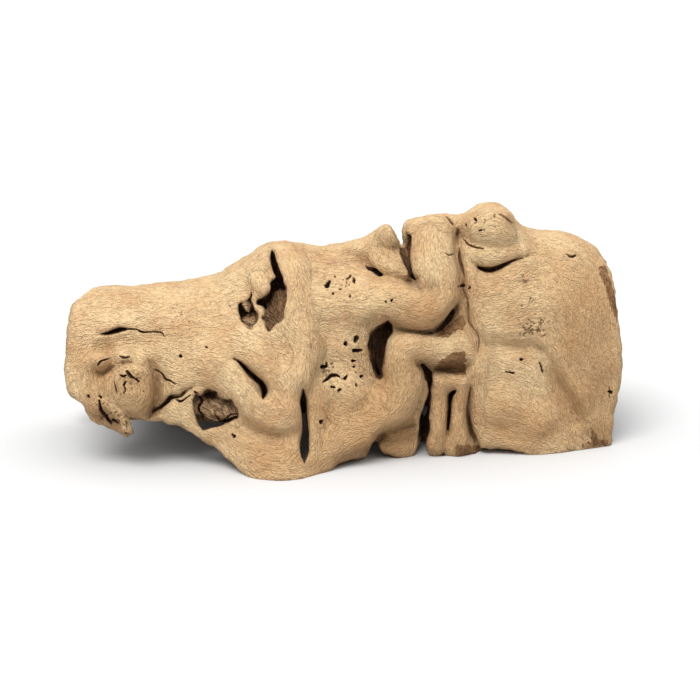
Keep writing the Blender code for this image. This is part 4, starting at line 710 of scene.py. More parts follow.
# Slits: marks of u, v and half width, with how deep they go (0 is right through).
FRONT_SLITS = {
    "slanting slit": (
        ((-58.5, -4.5, .4), (-56, -5.5, .8), (-52.5, -9, 1.2), (-50, -12, 1.3), (-47, -14.5, 1.4),
         (-44.5, -16.5, 1.5), (-43, -19, 1.6), (-42.5, -21.5, 1.5), (-43.5, -24.5, .6)), 14),
    "tall slot": (
        ((-23.5, -20, .6), (-23.5, -25, 1.5), (-22.8, -32.5, 1.5), (-22.3, -39, 1.4),
         (-22.8, -45, 2.2), (-22.8, -50, 2.2), (-22.8, -56.5, .4)), 0),
    "post slit": (
        ((52.5, -20.5, 1), (50.5, -22.5, 1.4), (50, -25, 1.1), (49.7, -30, .9), (49.3, -35, .9),
         (49, -40, .5)), 13),
    "collar slit": (
        ((54.5, 51, .3), (54.8, 46, .7), (56, 41, .8), (57, 36, .4)), .7),
    "collar crease": (
        ((57, 36, .4), (56.5, 31, .6), (58.5, 25, .6), (59.5, 15, .5), (61, 11.5, .6),
         (63.5, 8, .6), (64.5, 4, .4), (64, -1, .3)), .5),
    "low collar groove": (
        ((60, -18, .4), (59.5, -24.5, .8), (58.8, -30, 1.2), (59.3, -34, 1.4), (60.5, -40, 1.5),
         (62.5, -45, 1.5), (64, -50, 1.3)), 2.6),
    "crown slit": (
        ((62, 43, .3), (65, 41, .9), (69, 40, 1.5), (73, 40.8, 1.5), (77.5, 42.8, 1),
         (82.5, 45, .6), (91.5, 47.5, .3)), 7),
    "small crown slit": (((56.5, 55.5, .2), (59, 53, .5), (62.5, 51.5, .5), (66.5, 50.8, .3)), 1.2),
    "left slit": (
        ((-124.5, 8, .3), (-121.5, 8.3, 1), (-117.5, 9.5, 1.5), (-114, 10.5, 1.3),
         (-111.5, 10.5, .5)), 9),
    "left slit tail": (
        ((-111.5, 10.5, .4), (-106.5, 10.3, .3), (-104, 9, .4), (-95, 9, .3), (-93, 7, .2)), 3),
    "crack by the knot": (
        ((-100.5, -33.5, .4), (-98, -30.5, .8), (-95, -29, .9), (-91, -25.5, 1.3),
         (-89.5, -23.5, 1.1), (-87.5, -23.3, .9), (-84.5, -23, .7), (-82, -20.5, .8),
         (-77.5, -18, .3)), 7),
    "crack branch": (((-87.5, -24, .5), (-84.5, -25.6, .5), (-80, -22.5, .3)), 3),
    "slit in the long fold's bend": (
        ((42.5, 9, .5), (45.5, 11, 1.1), (49, 15, 1.3), (51, 18.5, 1.1), (53, 21.5, .4)), 8),
    "slit under the slab": (((8, 42, .3), (9, 41, .7), (12, 40, 1.1), (14.5, 38, 1.1), (16, 37.5, .4)), 5),
    "knot crack": (
        ((-111.5, -10.8, .8), (-109.5, -13.5, 1), (-108, -14, .5), (-105.5, -15.8, .4)), 4),
    "knot crack left": (((-115, -12.5, .3), (-113.5, -13.2, .6), (-112, -12.6, .3)), 3),
    "knot crack low": (((-112.3, -16, .5), (-113.3, -17.6, .5)), 2.5),
    "small knot crack": (((-126, -7.6, .4), (-124.5, -5.6, .5), (-120.5, -4.4, .3)), 2.5),
    "small knot crack right": (((-115, -3, .4), (-112.5, -3.8, .6), (-110.3, -3.2, .4)), 2.5),
    "crack right of the knot": (
        ((-97, -10, .4), (-94, -12, .5), (-92.5, -14.5, .6), (-90, -15.5, .4), (-87.5, -17, .3)),
        3),
    "panel slit": (
        ((-13.5, -16, .4), (-11, -14, .8), (-9.5, -12.7, 1), (-7, -12.5, .8), (-5.2, -13.3, .3)),
        4),
    "cheek slit": (((95, -6.5, .4), (96.5, -11, .5)), 2.5),
    "cheek slit low": (((78, -11, .3), (82, -11.6, .4)), 2),
    "shoulder slit": (((108.5, 48, .3), (110.5, 46.8, .7), (113, 47.4, .4)), 2.5),
    "second line of the fold": (((36, 8, .3), (41.5, 8.6, .4)), 2),
    "crown line": (((48.5, 66.5, .3), (51.5, 63, .6)), 2),
}
# Slits of the back: x, height and half width, with how deep they go (0 is right through).
BACK_SLITS = {
    "long back slit": (
        ((-98, 25, .5), (-92, 24, 1.6), (-84, 25, 2.2), (-77, 28, 1.6), (-72, 31, .5)), 0),
    "upright back slit": (((36, 52, .4), (37.5, 44, 1.4), (37, 36, 1.5), (38.5, 28, .5)), 8),
    "end crack": (((128, 66, .5), (118, 64, 1.1), (106, 62, .9), (96, 63, .3)), 7),
    "low back crack": (((-20, 2, 1), (-18, 12, 1.2), (-19.5, 22, .8), (-18, 29, .3)), 6),
}
# Worm holes: u, v, radius and depth.
PORES = (
    (-10.8, 33.3, 1.5, 6), (-8.3, 28.2, .7, 4), (-5, 30.5, .6, 4), (-1, 36, .7, 4), (0, 36.8, .6, 4),
    (2, 35.5, .8, 4), (2, 34.2, .6, 3), (0, 27.2, .5, 3), (-7.5, 37, .5, 3), (21, 25, .7, 4),
    (18, 24, .6, 3), (-2, 3.6, 1.3, 6), (3, 5.2, 1.7, 7), (4.8, -.2, 1.2, 5), (2.8, -.2, 1.2, 5),
    (2, -5.5, .9, 4), (2, -8.2, .8, 4), (6, -13, .9, 4), (-2, -13.5, .9, 4), (3.2, -17.2, .7, 3),
    (-5.5, -20, .8, 4), (-8.5, -18.5, .7, 3), (-13, -8.5, 1.3, 4), (-11.7, -7.2, .8, 4),
    (-14, -35.7, 1.4, 6), (-58.5, -42.7, .9, 4), (62.5, 65.5, .8, 3), (58, 62.7, .6, 3),
    (65, 59.7, .6, 3), (55.5, 32, .9, 4), (59.5, 31, .7, 3), (86, -4.7, 1, 5), (130, -21, .9, 3),
    (-85, -3, 1.1, 5), (-72, 1.5, .6, 3), (-60, 22, .5, 3),
)
# Wood left inside the holes: u, v, how far below the skin, radius.
HOLE_WOOD = {
    "knot in the lower hole": ((-69, -29, 8, 6), (-61, -30, 8, 5.5), (-54, -33, 8, 5)),
    "knot root": ((-73, -27, 7, 4), (-79, -27, 8, 5)),
    "nub in the upper hole": ((-52, 22.5, 5, 1.8), (-51, 20.5, 6, 1.5)),
    "floor of the upper pocket": ((-51, 12, 11, 4.5), (-48.5, 14.5, 11, 4)),
}
print(len(FRONT_HOLES), "holes,", len(FRONT_SLITS) + len(BACK_SLITS), "slits,", len(PORES), "worm holes")

# %% [markdown]
# ## Carving the openings
# Slits narrower than a limit are skipped here, because samples that lie too far apart would turn
# them into dents. They and the worm holes are engraved later.

# %% Carving them
def outline_distance(outline, u, v):
    """Signed distance to a closed outline on the board, negative inside it."""
    corner = np.asarray(outline, dtype=float)
    nearest = np.full(np.broadcast(u, v).shape, np.inf)
    inside = np.zeros(nearest.shape, dtype=bool)
    for a, b in zip(corner, np.roll(corner, -1, axis=0)):
        nearest = np.minimum(nearest, near_span(u, v, a, b)[1])
        if a[1] != b[1]:
            crossing = (b[0] - a[0]) * (v - a[1]) / (b[1] - a[1]) + a[0]
            inside ^= ((a[1] > v) != (b[1] > v)) & (u < crossing)
    return np.where(inside, -nearest, nearest)


def stroke_distance(marks, u, v, narrow):
    """Distance to a pen stroke whose half width is multiplied by narrow."""
    pen = smooth_curve(marks, 4)
    best = np.full(np.broadcast(u, v, narrow).shape, FAR)
    for a, b in zip(pen[:-1], pen[1:]):
        t, away = near_span(u, v, a, b)
        best = np.minimum(best, away - np.maximum(a[2] + t * (b[2] - a[2]), 0) * narrow)
    return best


# Depths between which the front is carved: from the viewer's side of the wood to past the crest.
FRONT_DEPTHS = (-90, 10)
# Openings into the tunnel stop at this y, so that they never reach the back wall.
TUNNEL_MIDDLE = -6
# Slits deeper than this are held to that too; shallower ones may run on over the crest.
DEEP_SLIT = 8
PAST_CREST = 30
# Depths between which the back is carved.
BACK_DEPTHS = (8, 80)


def board_box(marks, margin):
    """Corners of the box that holds everything drawn near some marks of the front."""
    marks = np.array([mark[:2] for mark in marks], dtype=float)
    corners = []
    for y in FRONT_DEPTHS:
        for u in (marks[:, 0].min() - margin, marks[:, 0].max() + margin):
            for v in (marks[:, 1].min() - margin, marks[:, 1].max() + margin):
                corners.append(from_board(u, v, y))
    corners = np.array(corners)
    return corners.min(axis=0), corners.max(axis=0)


def ragged(x, y, z, size):
    """Gentle unevenness between -1 and 1 whose lumps are about size mm across."""
    rng = np.random.default_rng(7)
    total = 0
    for _ in range(5):
        a = rng.normal(size=3)
        a *= rng.uniform(0.7, 1.5) * 2 * math.pi / (1.6 * size) / np.linalg.norm(a)
        total = total + np.sin(x * a[0] + y * a[1] + z * a[2] + rng.uniform(0, 6.3))
    return total / 3.2


def carve_front(block, field, skin, narrowest):
    """Opens the holes and wider slits drawn on the front board."""
    for outline, deep, rim in FRONT_HOLES.values():
        low, high = board_box(outline, 6)
        high[1] = TUNNEL_MIDDLE
        cut, x, y, z = block.part(low, high)
        u, v = on_board(x, y, z)
        away = outline_distance(outline, u, v) + 0.35 * ragged(x, y, z, 4)
        away = smooth_high(away, -skin[cut] - deep, 3)
        field[cut] = smooth_high(field[cut], -away, rim)
    for marks, deep in FRONT_SLITS.values():
        widest = max(m[2] for m in marks)
        if widest < narrowest:
            continue
        low, high = board_box(marks, 5)
        high[1] = TUNNEL_MIDDLE if deep == 0 or deep > DEEP_SLIT else PAST_CREST
        cut, x, y, z = block.part(low, high)
        u, v = on_board(x, y, z)
        depth = np.maximum(-skin[cut], 0)
        if deep:
            narrow = 1 - 0.75 * np.clip(depth / deep, 0, 1) ** 1.5
            away = smooth_high(stroke_distance(marks, u, v, narrow), depth - deep, 1.0)
        else:
            away = stroke_distance(marks, u, v, np.ones_like(depth))
        field[cut] = smooth_high(field[cut], -away, min(1.2, 0.5 + widest * 0.5))


def carve_back(block, field, skin, narrowest):
    """Opens the slits of the back, which are drawn straight from behind."""
    for marks, deep in BACK_SLITS.values():
        if max(m[2] for m in marks) < narrowest:
            continue
        spots = np.array(marks)
        cut, x, y, z = block.part(
            (spots[:, 0].min() - 5, BACK_DEPTHS[0], spots[:, 1].min() - 5),
            (spots[:, 0].max() + 5, BACK_DEPTHS[1], spots[:, 1].max() + 5))
        depth = np.maximum(-skin[cut], 0)
        narrow = 1 - 0.6 * np.clip(depth / (deep or 20), 0, 1)
        away = stroke_distance(marks, x + 0 * z, z + 0 * x, narrow)
        if deep:
            away = smooth_high(away, depth - deep, 1.0)
        field[cut] = smooth_high(field[cut], -away, 1.2)


def add_hole_wood(block, field):
    """Knots and tongues of wood that are left inside the holes."""
    for route in HOLE_WOOD.values():
        fine = smooth_curve(route, 4)
        foot = land(fine, "front", np.zeros(len(fine)))
        line = foot - BOARD_EYE
        line /= np.linalg.norm(line, axis=1, keepdims=True)
        centre = foot + line * (fine[:, 2] + fine[:, 3])[:, None]
        blend_beads(block, field, centre, fine[:, 3], reach=6, blend=2.0)


def trim_outline(block, field):
    """Cuts the two broken ends, the crest line and the lower edges of both walls."""
    y, z = block.y, block.z
    low_edge = back_hem(block.x)
    board = np.meshgrid(*FRONT_LINES, indexing="ij")
    around = outline_distance(TRUNK_OUTLINE, *board)
    below = outline_distance(HEM_OUTLINE, *board)
    tall_end = TALL_END + 0.5 + 1.5 * np.sin(z / 17) - np.maximum(z - 80, 0) * 0.25
    for i in range(block.count[0]):
        x = block.x[i:i + 1]
        u, v = on_board(x, y, z)
        uneven = 0.3 * ragged(x, y, z, 3.2)
        row = smooth_high(field[i:i + 1], look_up(around, FRONT_LINES, u, v) + uneven, 2.4)
        low_front = smooth_high(row, look_up(below, FRONT_LINES, u, v) + uneven, 1.6)
        low_back = smooth_high(row, low_edge[i] - z + uneven * 2, 2.0)
        row = np.where(y < 0, low_front, low_back)
        field[i:i + 1] = smooth_high(row, x - tall_end + uneven, 2.4)

# %% [markdown]
# ## The whole field
# All steps run on one block of evenly spaced samples. The solid model used samples 1.5 mm apart.
# Here they are 0.8 mm apart, so that rims and folds come out crisp. Marks that are narrower than
# 2.3 mm are left out at this stage, because they are engraved into the finished mesh later.

# %% Sampling the wood
# The block holds the wood with some air round it. It begins three samples below the floor.
BLOCK_LOW = (-149, -86)
BLOCK_HIGH = (142, 72, 124)


def wood_field(step, narrowest):
    """The whole piece of wood as a distance field, with its skin before it was opened."""
    block = Block((*BLOCK_LOW, -3 * step), BLOCK_HIGH, step)
    x, y, z = block.x, block.y, block.z
    body = body_distance(x, y, z).astype(np.float32)
    folds = fold_field(block)
    skin = smooth_low(body, folds, 4.0)
    skin -= read_relief(block, paint(FRONT_RELIEF, FRONT_CREASES, FRONT_LINES),
                        paint(BACK_RELIEF, BACK_CREASES, BACK_LINES))
    skin += (0.7 * ragged(x, y, z, 22) + 0.45 * ragged(y + 31, z, x, 11)).astype(np.float32)
    # The wall is thicker at the crest and behind the blind holes, and rough inside.
    side = SIDE_WALL + (TOP_WALL - SIDE_WALL) * np.clip(z / station(CREST_HEIGHT, x), 0, 1) ** 2
    side = side + read_relief(block, paint(WALL_SWELLS, {}, FRONT_LINES))
    hollow = body + side + 1.6 * ragged(x * 0.4, y, z, 16) + 0.5 * ragged(x * 0.3, z, y, 6)
    field = smooth_high(skin, -hollow, 3.0).astype(np.float32)
    del body, hollow, folds
    carve_front(block, field, skin, narrowest)
    carve_back(block, field, skin, narrowest)
    add_hole_wood(block, field)
    trim_outline(block, field)
    return block, field, skin


SAMPLE_STEP = 0.8
# Half width of the narrowest slit that is carved here.
FINEST_CARVED = 1.15
block, field, skin = wood_field(SAMPLE_STEP, FINEST_CARVED)
print(field.size, "samples of the wood, step", SAMPLE_STEP, "mm")

# %% [markdown]
# ## A mesh from the field
# The surface runs where the field changes sign. A net of four-sided faces is spun through those
# places, one vertex in each sample cell that holds both wood and air. Crumbs that hang free of the
# trunk are dropped, because the real one is a single piece.

# %% Spinning the net
CORNERS = [(i, j, k) for i in (0, 1) for j in (0, 1) for k in (0, 1)]
# Field values of a sample that has just been made wood, and of one that has to be air, in mm.
JUST_WOOD = -0.02
SURE_AIR = 0.5
MOST_REPAIRS = 12


def eight_corners(volume):
    """The samples at each corner of all cells, as eight arrays one shorter each way."""
    return [volume[tuple(slice(near, size - 1 + near) for near, size in zip(corner, volume.shape))]
            for corner in CORNERS]


def fill(field, spots, corners):
    """Turns the samples at some corners of each spot into wood."""
    for corner in corners:
        here = tuple((spots + corner).T)
        field[here] = np.minimum(field[here], JUST_WOOD)


def close_pinches(field):
    """Fills the few samples where two corners of wood would touch without joining."""
    for _ in range(MOST_REPAIRS):
        wood = field < 0
        fixed = 0
        for axis in range(3):
            w = np.moveaxis(wood, axis, 2)
            f = np.moveaxis(field, axis, 2)
            a, b = w[:-1, :-1], w[1:, :-1]
            c, d = w[:-1, 1:], w[1:, 1:]
            bad = np.argwhere((a == d) & (b == c) & (a != b))
            fixed += len(bad)
            fill(f, bad, [corner for corner in CORNERS if corner[2] == 0])
        seen = eight_corners(field < 0)
        count = sum(c.astype(np.uint8) for c in seen)
        for i in range(4):
            same = seen[i] == seen[7 - i]
            bad = np.argwhere(same & ((seen[i] & (count == 2)) | (~seen[i] & (count == 6))))
            fixed += len(bad)
            fill(field, bad, CORNERS)
        if not fixed:
            break


def skin_net(block, field):
    """Vertices and faces of the surface where the field changes sign."""
    for axis in range(3):
        layers = np.moveaxis(field, axis, 0)
        layers[[0, -1]] = np.maximum(layers[[0, -1]], SURE_AIR)
    close_pinches(field)
    wood = field < 0
    count = sum(c.astype(np.uint8) for c in eight_corners(wood))
    cells = np.argwhere((count > 0) & (count < 8))
    number = np.full(count.shape, -1, dtype=np.int32)
    number[tuple(cells.T)] = np.arange(len(cells))
    total = np.zeros((len(cells), 3))
    crossings = np.zeros(len(cells))
    value = {corner: field[tuple((cells + corner).T)] for corner in CORNERS}
    for start in CORNERS:
        for axis in range(3):
            if start[axis]:
                continue
            end = tuple(1 if n == axis else s for n, s in enumerate(start))
            a, b = value[start], value[end]
            crossed = (a < 0) != (b < 0)
            t = np.where(crossed, a / np.where(crossed, a - b, 1), 0)
            place = np.tile(np.array(start, dtype=float), (len(cells), 1))
            place[:, axis] += t
            total += np.where(crossed[:, None], place, 0)
            crossings += crossed
    points = block.low + block.step * (cells + total / crossings[:, None])
    quads = []
    for axis in range(3):
        other = [n for n in range(3) if n != axis]
        ahead = np.moveaxis(wood, (axis, *other), (0, 1, 2))
        ids = np.moveaxis(number, (axis, *other), (0, 1, 2))
        a, b = ahead[:-1, 1:-1, 1:-1], ahead[1:, 1:-1, 1:-1]
        for inward, mask in ((False, a & ~b), (True, ~a & b)):
            i, j, k = np.nonzero(mask)
            ring = [ids[i, j, k], ids[i, j + 1, k], ids[i, j + 1, k + 1], ids[i, j, k + 1]]
            if inward != (axis == 1):
                ring.reverse()
            quads.append(np.stack(ring, axis=1))
    return points, np.vstack(quads)


def sides_of(quads):
    """The four sides of every face, as pairs of vertex numbers."""
    return np.vstack([quads[:, [n, (n + 1) % 4]] for n in range(4)])


def biggest_piece(points, quads):
    """Keeps the one connected body of wood and drops stray crumbs."""
    edges = sides_of(quads)
    label = np.arange(len(points))
    while True:
        low = np.minimum(label[edges[:, 0]], label[edges[:, 1]])
        new = label.copy()
        np.minimum.at(new, edges[:, 0], low)
        np.minimum.at(new, edges[:, 1], low)
        new = new[new]
        if (new == label).all():
            break
        label = new
    names, sizes = np.unique(label, return_counts=True)
    keep = label == names[np.argmax(sizes)]
    renumber = np.cumsum(keep) - 1
    return points[keep], renumber[quads[keep[quads[:, 0]]]]


points, quads = skin_net(block, field)
points, quads = biggest_piece(points, quads)
print(len(points), "vertices,", len(quads), "faces")

# %% [markdown]
# ## Reading the field at the vertices
# Colour and grain need to know where a vertex lies: how deep below the first skin, and which way
# its surface faces. Both are read from the samples, blended between the eight nearest ones.

# %% Depth and direction of the surface
def sample(volume, where):
    """Value of a sampled volume at places given in mm, blended between its eight neighbours."""
    cell = (where - block.low) / block.step
    cell = np.clip(cell, 0, np.array(volume.shape) - 1.001)
    base = cell.astype(np.int32)
    part = (cell - base).astype(np.float32)
    total = np.zeros(len(where), dtype=np.float32)
    for i, j, k in CORNERS:
        share = (np.abs(1 - i - part[:, 0]) * np.abs(1 - j - part[:, 1])
                 * np.abs(1 - k - part[:, 2]))
        total += share * volume[base[:, 0] + i, base[:, 1] + j, base[:, 2] + k]
    return total


def net_normals(spots, faces):
    """Direction that each vertex of the net faces."""
    a, b, c, d = (spots[faces[:, n]] for n in range(4))
    across = np.cross(c - a, d - b)
    total = np.zeros_like(spots)
    for corner in range(4):
        for axis in range(3):
            total[:, axis] += np.bincount(faces[:, corner], across[:, axis], len(spots))
    return total / np.maximum(np.linalg.norm(total, axis=1, keepdims=True), 1e-9)


normals = net_normals(points, quads)
print("average way the net faces, should be near zero:", normals.mean(axis=0).round(3))

# %% [markdown]
# ## Which way the grain runs
# Grain follows the growth of the wood: along each rope, round each knot, and down the flank at the
# tall end. The routes of the folds give most of it, and a few more lines fill the plain areas.
# A grain line has no front end, so directions are averaged at double their angle.

# %% Grain lines
GRAIN_LINES = (
    ((-137, 25), (-105, 27), (-75, 30), (-55, 35)),
    ((-140, 15), (-105, 19), (-65, 22)),
    ((-141, 5), (-125, 6), (-95, 7), (-65, 10)),
    ((-140, -5), (-130, 2.5), (-110, 7), (-95, 3), (-87, -8), (-75, -12)),
    ((-126, -22), (-126, -12), (-122, -6), (-112, -1), (-102, -5), (-96, -15), (-97, -25), (-105, -32)),
    ((-117, -18), (-115, -10), (-107, -9), (-101, -15), (-101, -24), (-107, -29), (-115, -25)),
    ((-95, -10), (-80, -12), (-67, -11)),
    ((-100, 0), (-85, -3), (-67, -8), (-55, -18)),
    ((-92, -30), (-80, -38), (-65, -48), (-55, -58)),
    ((-55, -48), (-40, -53), (-25, -51), (-10, -50)),
    ((-60, -50), (-50, -60), (-30, -63)),
    ((-55, -25), (-52, -35), (-42, -41), (-28, -39)),
    ((-46, -20), (-44, -28), (-36, -33), (-28, -30)),
    ((-60, 5), (-45, 0), (-30, -3)),
    ((-65, -2), (-48, -3), (-32, -10), (-26, -20)),
    ((-30, -22), (-28, -36), (-29, -50)),
    ((-17, -20), (-15, -38), (-17, -52)),
    ((-15, 15), (0, 12), (9, 6)),
    ((-12, -5), (0, -12), (10, -20), (18, -28)),
    ((-15, -28), (0, -33), (12, -40)),
    ((-14, 38), (0, 38), (12, 33), (25, 33)),
    ((14, 13), (12, 0), (15, -13)),
    ((18, 10), (16, -2), (16.5, -13)),
    ((60, 60), (70, 67), (82, 63), (95, 56)),
    ((58, 50), (70, 53), (85, 56), (110, 56), (124, 45)),
    ((65, 44), (75, 42), (90, 47), (108, 50), (122, 42)),
    ((65, 34), (80, 34), (97, 40), (115, 37)),
    ((65, 25), (80, 27), (95, 28), (107, 23), (115, 10), (122, -8)),
    ((66, 17), (80, 18.5), (90, 23)),
    ((67, 8), (80, 8.5), (92, 12)),
    ((105, 34), (117, 20), (125, 5), (131, -8)),
    ((120, 44), (127, 30), (131, 15), (133, 4)),
    ((98, 8), (105, -6), (115, -22), (122, -36)),
    ((66, -1), (80, -1), (95, -5), (103, -18), (113, -33), (120, -44)),
    ((66, -15), (80, -16), (90, -22), (100, -32), (108, -43)),
    ((66, -30), (78, -33), (90, -40), (98, -48)),
    ((70, -8), (84, -14), (96, -24), (106, -36), (112, -45)),
    ((68, -22), (80, -27), (92, -35), (101, -45)),
    ((67, -38), (76, -41), (86, -47)),
    ((127, 0), (134, -6)),
    ((125, -8), (133, -14)),
    ((118, -12), (128, -25), (130, -35)),
)
BACK_GRAIN = (
    ((-140, 60), (-90, 66), (-40, 84), (20, 92), (80, 100), (130, 80)),
    ((-140, 20), (-100, 22), (-60, 14)),
    ((40, 20), (90, 34), (130, 20)),
    ((-140, 35), (-60, 40), (20, 40), (130, 60)),
)


# The grain maps are coarser than the relief: one cell every 2 mm in front and 4 mm behind.
FRONT_CELLS = (np.arange(-160, 160, 2.0), np.arange(-90, 90, 2.0))
BACK_CELLS = (np.arange(-160, 160, 4.0), np.arange(-10, 130, 4.0))


def grain_map(lines, folds, cells):
    """Grain direction on a board as the cosine and sine of twice its angle."""
    uu, vv = np.meshgrid(*cells, indexing="ij")
    total = np.zeros(uu.shape + (2,))
    weight = np.zeros(uu.shape)
    routes = [smooth_curve(line, 4) for line in lines]
    routes += [smooth_curve([mark[:2] for mark in fold], 4) for fold in folds if len(fold) > 1]
    for route in routes:
        for a, b in zip(route[:-1], route[1:]):
            run, rise = b[0] - a[0], b[1] - a[1]
            length = math.hypot(run, rise)
            if length < 1e-6:
                continue
            twice = 2 * math.atan2(rise, run)
            away = (uu - (a[0] + b[0]) / 2) ** 2 + (vv - (a[1] + b[1]) / 2) ** 2
            pull = length / (away + 9) ** 2
            total[..., 0] += pull * math.cos(twice)
            total[..., 1] += pull * math.sin(twice)
            weight += pull
    return total / weight[..., None]


front_grain = grain_map(GRAIN_LINES, FRONT_FOLDS.values(), FRONT_CELLS)
back_grain = grain_map(BACK_GRAIN, BACK_FOLDS.values(), BACK_CELLS)
print("grain map of the front:", front_grain.shape[:2], "cells of 2 mm")

# %% Grain on the surface
def grain_at(spots, facing):
    """Unit vector along the grain in the surface, for places in mm."""
    x, y, z = spots.T
    u, v = front_view(spots)
    u = u + 1.5 * ragged(x, y, z, 14)
    v = v + 1.5 * ragged(z, x, y, 14)
    front, behind = (
        np.arctan2(look_up(table[..., 1], cells, *place), look_up(table[..., 0], cells, *place)) / 2
        for table, cells, place in ((front_grain, FRONT_CELLS, (u, v)), (back_grain, BACK_CELLS, (x, z))))
    # Directions are turned to agree with a slope, which is down on the flank at the tall end.
    lean = np.where(u > 75, -0.6, 0.7)
    front = np.where(np.cos(front - lean) < 0, front + math.pi, front)
    along_front = (np.cos(front)[:, None] * BOARD_RIGHT + np.sin(front)[:, None] * BOARD_UP)
    along_back = np.stack([np.cos(behind), np.zeros(len(u)), np.sin(behind)], axis=1)
    share = np.clip((y - station(CREST, x)) / CREST_FADE, 0, 1)[:, None]
    along = along_front * (1 - share) + along_back * share
    along -= facing * (along * facing).sum(axis=1, keepdims=True)
    return along / np.maximum(np.linalg.norm(along, axis=1, keepdims=True), 1e-6)


grain = grain_at(points, normals)
print("grain found at", len(grain), "vertices")

# %% [markdown]
# ## Fibre ridges
# Sand wears the soft early wood away and leaves the hard late wood as fine ridges, so the surface
# feels combed. Random heights are smeared along the grain from neighbour to neighbour, as a comb
# pulls wet clay, and the vertices move by a tenth of a millimetre or two. Holes keep rougher
# fibres, because the sand reached them less. The finest lines are left to the material.

# %% Combing the surface
def comb(values, passes, pull):
    """Averages values between neighbours, each edge with its own pull."""
    count = len(values)
    for _ in range(passes):
        gathered = np.bincount(starts, pull * values[ends], count)
        gathered += np.bincount(ends, pull * values[starts], count)
        shared = np.bincount(starts, pull, count) + np.bincount(ends, pull, count)
        values = (values + gathered) / (1 + shared)
    return values


def unit_spread(values):
    """The same values with mean 0 and standard deviation 1."""
    return (values - values.mean()) / values.std()


edges = np.unique(np.sort(sides_of(quads), axis=1), axis=0)
starts, ends = edges.T
step_along = points[ends] - points[starts]
step_along /= np.maximum(np.linalg.norm(step_along, axis=1, keepdims=True), 1e-6)
aligned = np.abs((step_along * (grain[starts] + grain[ends]) / 2).sum(axis=1))
dice = np.random.default_rng(11)
evenly = np.full(len(edges), 0.25)
fine = comb(dice.normal(size=len(points)), 1, evenly)
fine = unit_spread(comb(fine, 14, 2 * aligned ** 6))
broad = comb(dice.normal(size=len(points)), 5, evenly)
broad = unit_spread(comb(broad, 30, 2 * aligned ** 4))
lumps = unit_spread(comb(dice.normal(size=len(points)), 12, evenly))
# 0 on the outside and 1 in holes, from 1 to 5 mm below the skin.
hidden = np.clip((np.maximum(-sample(skin, points), 0) - 1.0) / 4, 0, 1)
TALLEST_RIDGE = 0.8
ridge = 0.05 * fine + 0.06 * broad + 0.07 * lumps + hidden * (0.22 * fine + 0.25 * broad)
ridge = np.clip(ridge, -TALLEST_RIDGE, TALLEST_RIDGE)
points = points + normals * ridge[:, None]
print("fibre ridges from", round(float(ridge.min()), 2), "to", round(float(ridge.max()), 2), "mm")

# %% [markdown]
# ## One closed piece of wood
# The net has more faces than the eye can use, so a Decimate modifier merges them where the wood is
# smooth. Then the lower edges are cut level at the floor, as gravity and wear have done.

# %% Mesh object, thinned and stood on the floor
def use_modifiers(thing):
    """Makes the result of an object's modifiers its mesh."""
    seen = thing.evaluated_get(bpy.context.evaluated_depsgraph_get())
    mesh = bpy.data.meshes.new_from_object(seen)
    thing.modifiers.clear()
    thing.data = mesh


def thin_out(thing, faces_wanted):
    """Leaves fewer, larger triangles where the wood is smooth."""
    thing.data.update()
    triangles = sum(len(face.vertices) - 2 for face in thing.data.polygons)
    thin = thing.modifiers.new("thin out", "DECIMATE")
    thin.ratio = faces_wanted / triangles
    use_modifiers(thing)


def stand_on_floor(thing):
    """Saws the lower edges level, so that the wood rests on flat feet at z = 0."""
    bm = bmesh.new()
    bm.from_mesh(thing.data)
    everything = bm.verts[:] + bm.edges[:] + bm.faces[:]
    bmesh.ops.bisect_plane(bm, geom=everything, dist=0.25 * MM, plane_co=(0, 0, 0),
                           plane_no=(0, 0, -1), clear_outer=True, use_snap_center=True)
    rim = [e for e in bm.edges if e.is_boundary]
    bmesh.ops.triangle_fill(bm, edges=rim, use_beauty=True, normal=(0, 0, -1))
    bmesh.ops.triangulate(bm, faces=bm.faces[:])
    bmesh.ops.recalc_face_normals(bm, faces=bm.faces[:])
    bm.to_mesh(thing.data)
    bm.free()


def mesh_from_net(name, spots, faces):
    """A mesh object from arrays of vertices in mm and faces."""
    mesh = bpy.data.meshes.new(name)
    mesh.from_pydata((spots * MM).tolist(), [], faces.tolist())
    return new_object(name, mesh)


FACES_WANTED = 148000
wood = mesh_from_net("grapevine_wood", points + CENTRE_SHIFT, quads)
thin_out(wood, FACES_WANTED)
stand_on_floor(wood)
print(len(wood.data.polygons), "triangles,", [round(side / MM, 1) for side in wood.dimensions], "mm")

# %% [markdown]
# ## Hairline cracks, worm holes and pits
# Dry wood checks: it shrinks more round the rings than across them and splits in fine black lines.
# Such a line is hardly wider than the step between samples, so it is engraved instead. The edges
# near each mark are divided three times, or twice behind, and then pressed in as by a graver.

